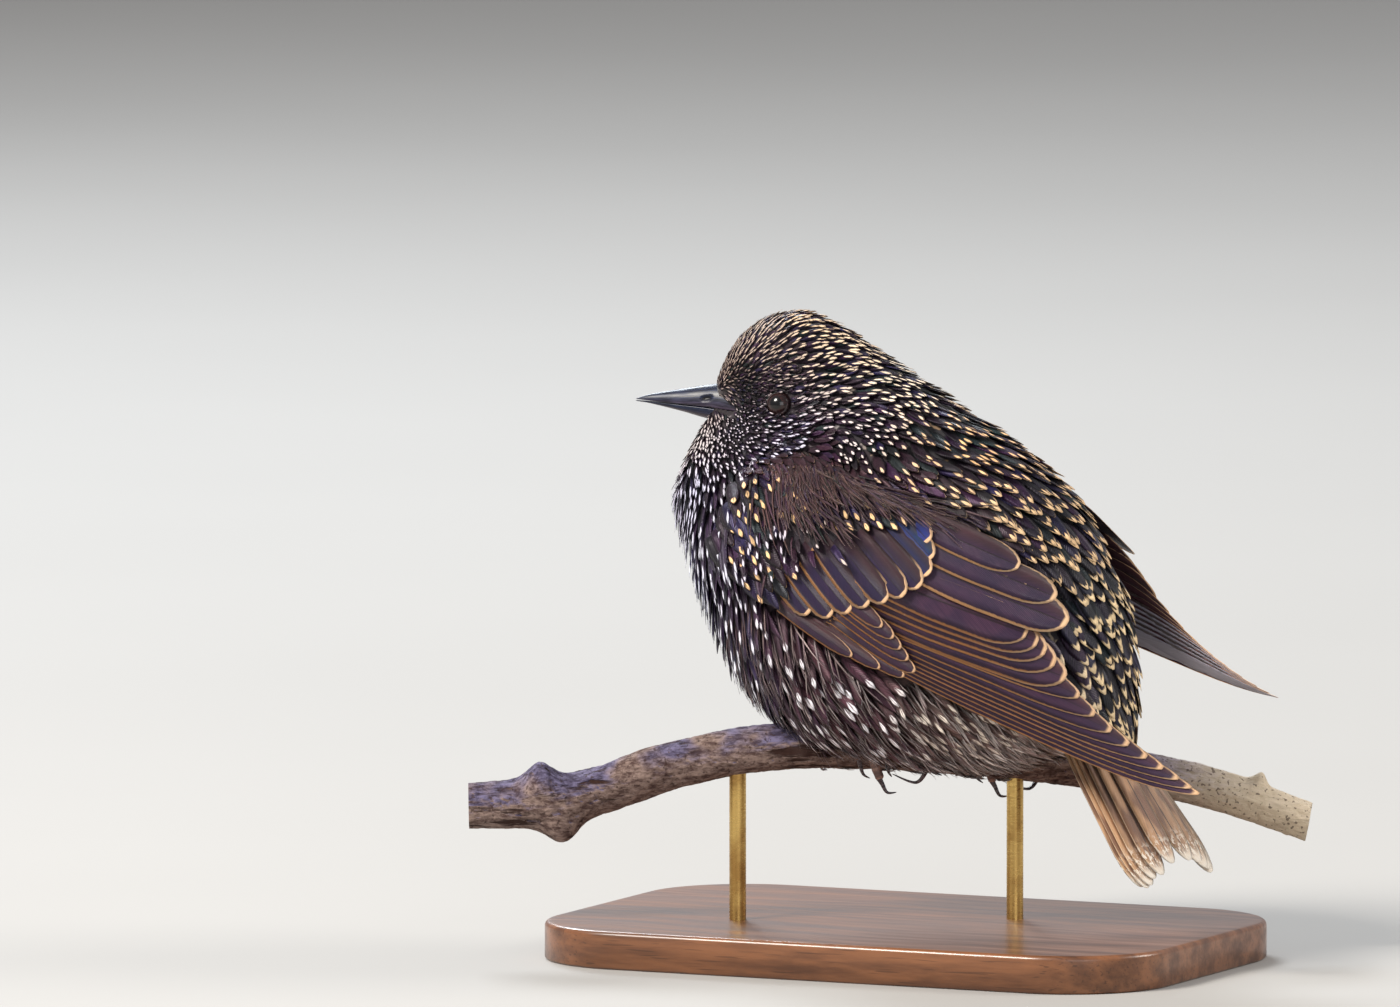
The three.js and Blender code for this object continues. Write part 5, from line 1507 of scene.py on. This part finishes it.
def eye_piece(side, label, material):
    """Eyeball: a sphere with its pole on the eye's axis; mark holds the turn off the axis, in radians, and round it."""
    place, lie, out = eye_frame(side)
    up = unit(np.cross(out, lie))
    off = np.linspace(0.02, np.pi - 0.02, 40)[:, None]
    turn = full_turn(48)
    along, aside, ahead = np.sin(off) * np.cos(turn), np.sin(off) * np.sin(turn), np.cos(off) + 0 * turn
    ball = along[..., None] * lie + aside[..., None] * up + ahead[..., None] * out
    eye = shell("eyeball_" + label, place - out * EYE_SINK + EYE_RADIUS * ball, material)
    set_values(eye, mark=stacked(off, turn / (2 * np.pi), 0))
    return eye


def lid_piece(side, label, material):
    """Lids: a ring of granular skin round the eye, drawn out a little to its corners and flattened on the ball."""
    place, lie, out = eye_frame(side)
    up = unit(np.cross(out, lie))
    turn = full_turn(120)[:, None]
    ring = full_turn(14)
    corner = 1 + 0.09 * np.cos(turn) ** 4 - 0.03 * np.sin(turn) ** 2
    thick = LID_THICK + 0.05 * np.sin(turn * 22) * np.cos(ring)
    away = LID_RADIUS * corner + thick * np.cos(ring)
    rise = 0.05 + thick * 0.7 * np.sin(ring) - 0.02 * away ** 2
    points = place + (lie * (away * np.cos(turn))[..., None] + up * (away * np.sin(turn))[..., None])
    points = points + out * rise[..., None]
    quads = grid_quads(len(turn) + 1, len(ring)) % rise.size
    lid = build_mesh("lids_" + label, points, [quads], material)
    face_outwards(lid)
    set_uv(lid, "Length", stacked(ring / 6.3, turn / (2 * np.pi)))
    return lid


def foot_place(side, points):
    """Points of a foot in perch measures; the right foot stands farther along, on the far side."""
    along, out, up = np.moveaxis(np.asarray(points, float), -1, 0)
    if side < 0:
        return perch_place(along, out, up)
    shifted = along + RIGHT_FOOT_SHIFT
    drop = perch_value(shifted, PERCH_RISE) - perch_value(along, PERCH_RISE)
    return perch_place(shifted, -out - perch_value(shifted, PERCH_BACK), up + drop)


def scutes(run, turn):
    """Relief of a toe: overlapping scales over its top, narrowing at the claw."""
    step = np.abs(np.sin(np.pi * 10 * run)) ** 0.5
    return 0.1 * (step - 0.6) * (0.4 + 0.6 * np.cos(turn) ** 2) - 0.18 * smooth(run, 0.96, 1.0)


def shank_rings(run, turn):
    """Relief of a shank: low rings."""
    return 0.05 * np.sin(np.pi * 14 * run) + 0 * turn


def leg_pieces(side, label, leg_material, claw_material):
    """Scaly shank and toes, with a claw on each toe that starts half a step inside it."""
    shank = foot_place(side, [FOOT_BASE, TARSUS_TOP])
    path = curve_through([shank[0], (shank[0] + shank[1]) / 2, shank[1]], 40)
    pieces = [rounded_tube("shank_" + label, path, TARSUS_RADIUS, 20, leg_material, relief=shank_rings)]
    run = np.linspace(0, 1, 48)
    pads = 0.13 * np.sin(np.pi * 3 * run) ** 2
    radius = (TOE_RADIUS * (1 - 0.14 * run) + pads) * np.sqrt(1 - smooth(run, 0.95, 1.02) * 0.5)
    nail_radius = CLAW_RADIUS * (1 - np.linspace(0, 1, 40)) ** 0.75 + 0.07
    for toe, (joints, claw) in TOES.items():
        path = curve_through(foot_place(side, joints), 48)
        pieces.append(rounded_tube(f"toe_{label}_{toe}", path, radius, 20, leg_material, relief=scutes))
        claw = np.array(claw)
        claw = np.concatenate([1.5 * claw[:1] - 0.5 * claw[1:2], claw])
        path = curve_through(foot_place(side, claw), 40)
        nail = rounded_tube(f"nail_{label}_{toe}", path, nail_radius, 16, claw_material, flat=0.82)
        bind(nail, "claw_horn", f"claw_{label}_{toe}")
    for piece in pieces:
        bind(piece, "leg_scales", "leg_" + label)


# Perch and stand

def lattice(x, y, period, seed):
    """Smooth noise from 0 to 1 on a grid of whole numbers, repeating along y after a number of steps."""
    i, j = np.floor(x), np.floor(y)
    fx, fy = (f * f * (3 - 2 * f) for f in (x - i, y - j))

    def value(a, b):
        wave = np.sin(a * 127.1 + np.mod(b, period) * 311.7 + seed * 74.7) * 4375.5
        return wave - np.floor(wave)

    low = value(i, j) * (1 - fx) + value(i + 1, j) * fx
    high = value(i, j + 1) * (1 - fx) + value(i + 1, j + 1) * fx
    return low * (1 - fy) + high * fy


def bark_relief(run, turn):
    """Height of the bark: ridges along the branch, flakes, growth rings, pits, and cracks between low ridges."""
    y = turn / (2 * np.pi)
    ridges = lattice(run * 0.16, y * 26, 26, 1) + 0.5 * lattice(run * 0.5, y * 52, 52, 2)
    flakes = lattice(run * 1.3, y * 40, 40, 3)
    rings = lattice(run * 0.9, y * 3, 3, 4)
    pits = smooth(lattice(run * 1.1, y * 34, 34, 5), 0.82, 0.95)
    cracked = smooth(lattice(run * 0.05, y * 5, 5, 6), 0.5, 0.75) * smooth(-ridges, -0.5, -0.25)
    return 0.34 * (ridges - 0.75) + 0.14 * (flakes - 0.5) + 0.12 * (rings - 0.5) - 0.3 * pits - 0.4 * cracked


def perch_piece(bark, wood):
    """Branch: rings of bark round its centre line, swollen at the knots, with a relief. At either end the rings
    shrink by their shares to a fan round the middle, which is the sawn end."""
    first, last = PERCH_STATIONS[0, 0], PERCH_STATIONS[-1, 0]
    count = 520
    shares = [0.35, 0.7, 0.97]
    along = np.concatenate([np.full(3, first), np.linspace(first, last, count), np.full(3, last)])
    share = np.concatenate([shares, np.ones(count), shares[::-1]])
    turn = full_turn(112)
    run = along[:, None]
    radius = PERCH_RADIUS * perch_value(run, PERCH_GIRTH) * (1 + 0.025 * np.sin(3 * turn + run * 0.11))
    for place, angle, height, spread, width in PERCH_KNOTS:
        apart = (np.cos(turn - np.radians(angle)) - 1) / (1 - np.cos(np.radians(width)))
        radius = radius + height * np.exp(-((run - place) / spread) ** 2) * np.exp(apart)
    radius = (radius + bark_relief(run, turn) * smooth(share, 0.9, 1)[:, None]) * share[:, None]
    slope = np.arctan(perch_value(run + 0.5, PERCH_RISE) - perch_value(run - 0.5, PERCH_RISE))
    rise = radius * np.cos(turn)
    out = radius * np.sin(turn) - perch_value(run, PERCH_BACK)
    points = perch_place(run - rise * np.sin(slope), out, perch_value(run, PERCH_RISE) + rise * np.cos(slope))
    ends = np.array([first, last])
    hubs = perch_place(ends, -perch_value(ends, PERCH_BACK), perch_value(ends, PERCH_RISE))
    rows, columns = points.shape[:2]
    hub = rows * columns
    ring = np.arange(columns)
    after = (ring + 1) % columns
    faces = [grid_quads(rows, columns), stacked(after, ring, hub),
             stacked(hub - columns + ring, hub - columns + after, hub + 1)]
    branch = build_mesh("branch", np.concatenate([points.reshape(-1, 3), hubs]), faces, bark)
    branch.data.materials.append(wood)
    on_end = np.append(np.repeat(share[:-1] + share[1:] < 1.9, columns), np.ones(2 * columns, bool))
    branch.data.polygons.foreach_set("material_index", on_end.astype(np.int32))
    face_outwards(branch)
    return branch


def base_piece(material):
    """Display base: a rounded rectangle carried up a profile with a softly rounded top edge."""
    length, width, height, corner, edge = BASE_SIZE
    bow = np.linspace(0, np.pi / 2, 9)
    inset = np.concatenate([[0.5, 0], edge * (1 - np.cos(bow)), edge + np.array([1.5, 12, 24.5])])[:, None]
    level = np.concatenate([[0, 0.5], height - edge * (1 - np.sin(bow)), np.full(3, height)])[:, None]
    turn = full_turn(160)
    x = np.sign(np.cos(turn)) * (length / 2 - corner) + (corner - inset) * np.cos(turn)
    y = np.sign(np.sin(turn)) * (width / 2 - corner) + (corner - inset) * np.sin(turn)
    return shell("display_base", stacked(x, y, level), material)


def rod_piece(order, along, material):
    """Rod from inside the base to inside the branch: a straight tube."""
    level = np.linspace(BASE_SIZE[2] - ROD_SINK, perch_value(along, PERCH_RISE) - 1, 30)
    path = perch_place(along, -perch_value(along, PERCH_BACK), level)
    return rounded_tube(f"rod_{order}", path, ROD_RADIUS, 48, material)


# Making
plumage = plumage_material()
flight = flight_material()
horn = horn_material()
down = skin_material()
bind(skin_piece(down), "body_plumage", "head", "neck", "torso")

# Rings of the coat: first and last section, rows and columns of their vanes
COAT_PIECES = {
    "coat_face": (0.45, 3.4, FACE_STATIONS, COLUMNS_PLAIN),
    "coat_crown_and_throat": (3.4, 5.2, COAT_STATIONS, COLUMNS_PLAIN),
    "coat_nape_and_neck": (5.2, 6.6, COAT_STATIONS, COLUMNS_FINE),
    "coat_mantle_and_breast": (6.6, 8.6, COAT_STATIONS, COLUMNS_FINE),
    "coat_back_and_belly": (8.6, 11.0, COAT_STATIONS, COLUMNS_FINE),
    "coat_rump": (11.0, UNDERTAIL_START, COAT_STATIONS, COLUMNS_FINE),
}
for name, ring in COAT_PIECES.items():
    bind(coat_piece(name, *ring, plumage), "body_plumage")

# Loose feather ends: how many, sections, edges in degrees from the back, length, half width, shades, lift,
# slope towards the belly, height over a wing
HAIR_PIECES = {
    "shoulder_hairs": (3400, (5.5, 8.4), ((78, 44), (102, 60)), (8, 17), 0.34,
                       (((64, 40, 44), (122, 88, 82)), ((50, 36, 44), (98, 78, 78))), 0.8, -0.14, 1.6),
    "flank_hairs": (2300, (6.8, 12.0), ((96, 104), (172, 160)), (8, 15), 0.32,
                    (((62, 38, 50), (124, 92, 92)), ((136, 110, 106), (250, 240, 234))), 1.6, 0.45, 0.6),
    "chin_hairs": (420, (0.12, 1.5), ((94, 98), (178, 178)), (2.2, 3.6), 0.24,
                   (((110, 84, 88), (228, 214, 210)), ((80, 56, 64), (206, 190, 196))), 0.5, 0.0, 0.6),
    "eye_hairs": (900, (3.9, 5.7), ((54, 54), (90, 86)), (1.4, 2.4), 0.28,
                  (((26, 14, 24), (84, 62, 70)), ((30, 18, 28), (110, 92, 100))), 0.1, -0.7, 0.6),
}
for name, hairs in HAIR_PIECES.items():
    bind(hair_piece(name, *hairs, plumage), "body_plumage")

WING_MAKERS = ((wing_arm_piece, down), (flight_piece, flight), (covert_piece, flight), (small_covert_piece, plumage))
for label, side in SIDES:
    for make, material in WING_MAKERS:
        bind(make(side, label, material), "wing_plumage", "wing_" + label)
bind(tail_piece(tail_material()), "tail_plumage", "tail")

bind(bill_half("upper_bill", True, horn), "bill_horn", "bill_upper")
bind(bill_half("lower_bill", False, horn), "bill_horn", "bill_lower")
eye_stuff = eye_material()
lid_skin = scaly_material("Lid skin", (14, 8, 10), (58, 36, 40), 0.65)
leg_skin = scaly_material("Scaly leg skin", (82, 56, 52), (168, 132, 118), 0.45)
claw_stuff = scaly_material("Dark claw horn", (40, 34, 40), (104, 92, 96), 0.25)
for label, side in SIDES:
    bind(eye_piece(side, label, eye_stuff), "eye", "eye_" + label)
    bind(lid_piece(side, label, lid_skin), "body_plumage")
    leg_pieces(side, label, leg_skin, claw_stuff)

brass = brass_material()
bind(perch_piece(bark_material(), cut_wood_material()), "bark", "perch")
bind(base_piece(stand_wood_material()), "stand_wood", "stand_base")
for order, along in enumerate(ROD_ALONG, 1):
    bind(rod_piece(order, along, brass), "stand_brass", f"stand_rod_{order}")

# Floor, camera and light
FLOOR_SIZE = 8000.0
FLOOR_LEVEL = -0.05
floor_corners = [(x * FLOOR_SIZE, y * FLOOR_SIZE, FLOOR_LEVEL) for x, y in ((-1, -1), (1, -1), (1, 1), (-1, 1))]
floor = build_mesh("studio_floor", floor_corners, [[[0, 1, 2, 3]]], floor_material())

CAMERA_DISTANCE = 6.0
CAMERA_RIGHT = np.array([0.9063, 0.4226, 0.0])
CAMERA_UP = np.array([-0.0442, 0.0947, 0.9945])
CAMERA_BACK = np.array([0.4203, -0.9014, 0.1045])
FRAME_CENTRE = CAMERA_RIGHT * -48.81 + CAMERA_UP * 107.98
FRAME_WIDTH = 333.3
SENSOR_WIDTH = 36
# Lights: place, size, watts and colour
LIGHTS = {
    "key": ((-0.9, -1.5, 1.7), 0.7, 78, (1.0, 0.95, 0.88)),
    "back_left": ((-1.2, 1.3, 1.4), 0.7, 34, (0.88, 0.94, 1.0)),
    "back_right": ((1.7, 0.9, 1.2), 0.8, 26, (1.0, 0.95, 0.88)),
    "fill": ((1.6, -2.0, 0.8), 1.4, 14, (0.97, 0.98, 1.0)),
}
LIGHT_AIM = np.array([0.0, 0.0, 0.1])
SKY_COLOUR = (0.86, 0.88, 0.92, 1)
SKY_STRENGTH = 0.45


def place_camera():
    """Long-lens camera at the photograph's angle and framing."""
    data = bpy.data.cameras.new("camera")
    data.sensor_width = SENSOR_WIDTH
    data.lens = SENSOR_WIDTH * CAMERA_DISTANCE / (FRAME_WIDTH * MM)
    data.clip_end = 60
    camera = bpy.data.objects.new("camera", data)
    bpy.context.scene.collection.objects.link(camera)
    axes = np.eye(4)
    axes[:3, :3] = stacked(CAMERA_RIGHT, CAMERA_UP, CAMERA_BACK)
    axes[:3, 3] = FRAME_CENTRE * MM + CAMERA_BACK * CAMERA_DISTANCE
    camera.matrix_world = Matrix(axes.tolist())
    bpy.context.scene.camera = camera


def add_light(name, place, size, watts, colour):
    """Soft square light that looks at the bird's middle."""
    data = bpy.data.lights.new(name, "AREA")
    data.size = size
    data.energy = watts
    data.color = colour
    lamp = bpy.data.objects.new(name, data)
    lamp.location = place
    lamp.rotation_euler = Vector(LIGHT_AIM - np.array(place)).to_track_quat("-Z", "Y").to_euler()
    lamp.visible_camera = False
    bpy.context.scene.collection.objects.link(lamp)


place_camera()
for name, lamp in LIGHTS.items():
    add_light(name, *lamp)
world = bpy.data.worlds.new("studio")
bpy.context.scene.world = world
world.use_nodes = True
sky = world.node_tree.nodes["Background"]
sky.inputs["Color"].default_value = SKY_COLOUR
sky.inputs["Strength"].default_value = SKY_STRENGTH
bpy.context.scene.view_settings.view_transform = "Standard"
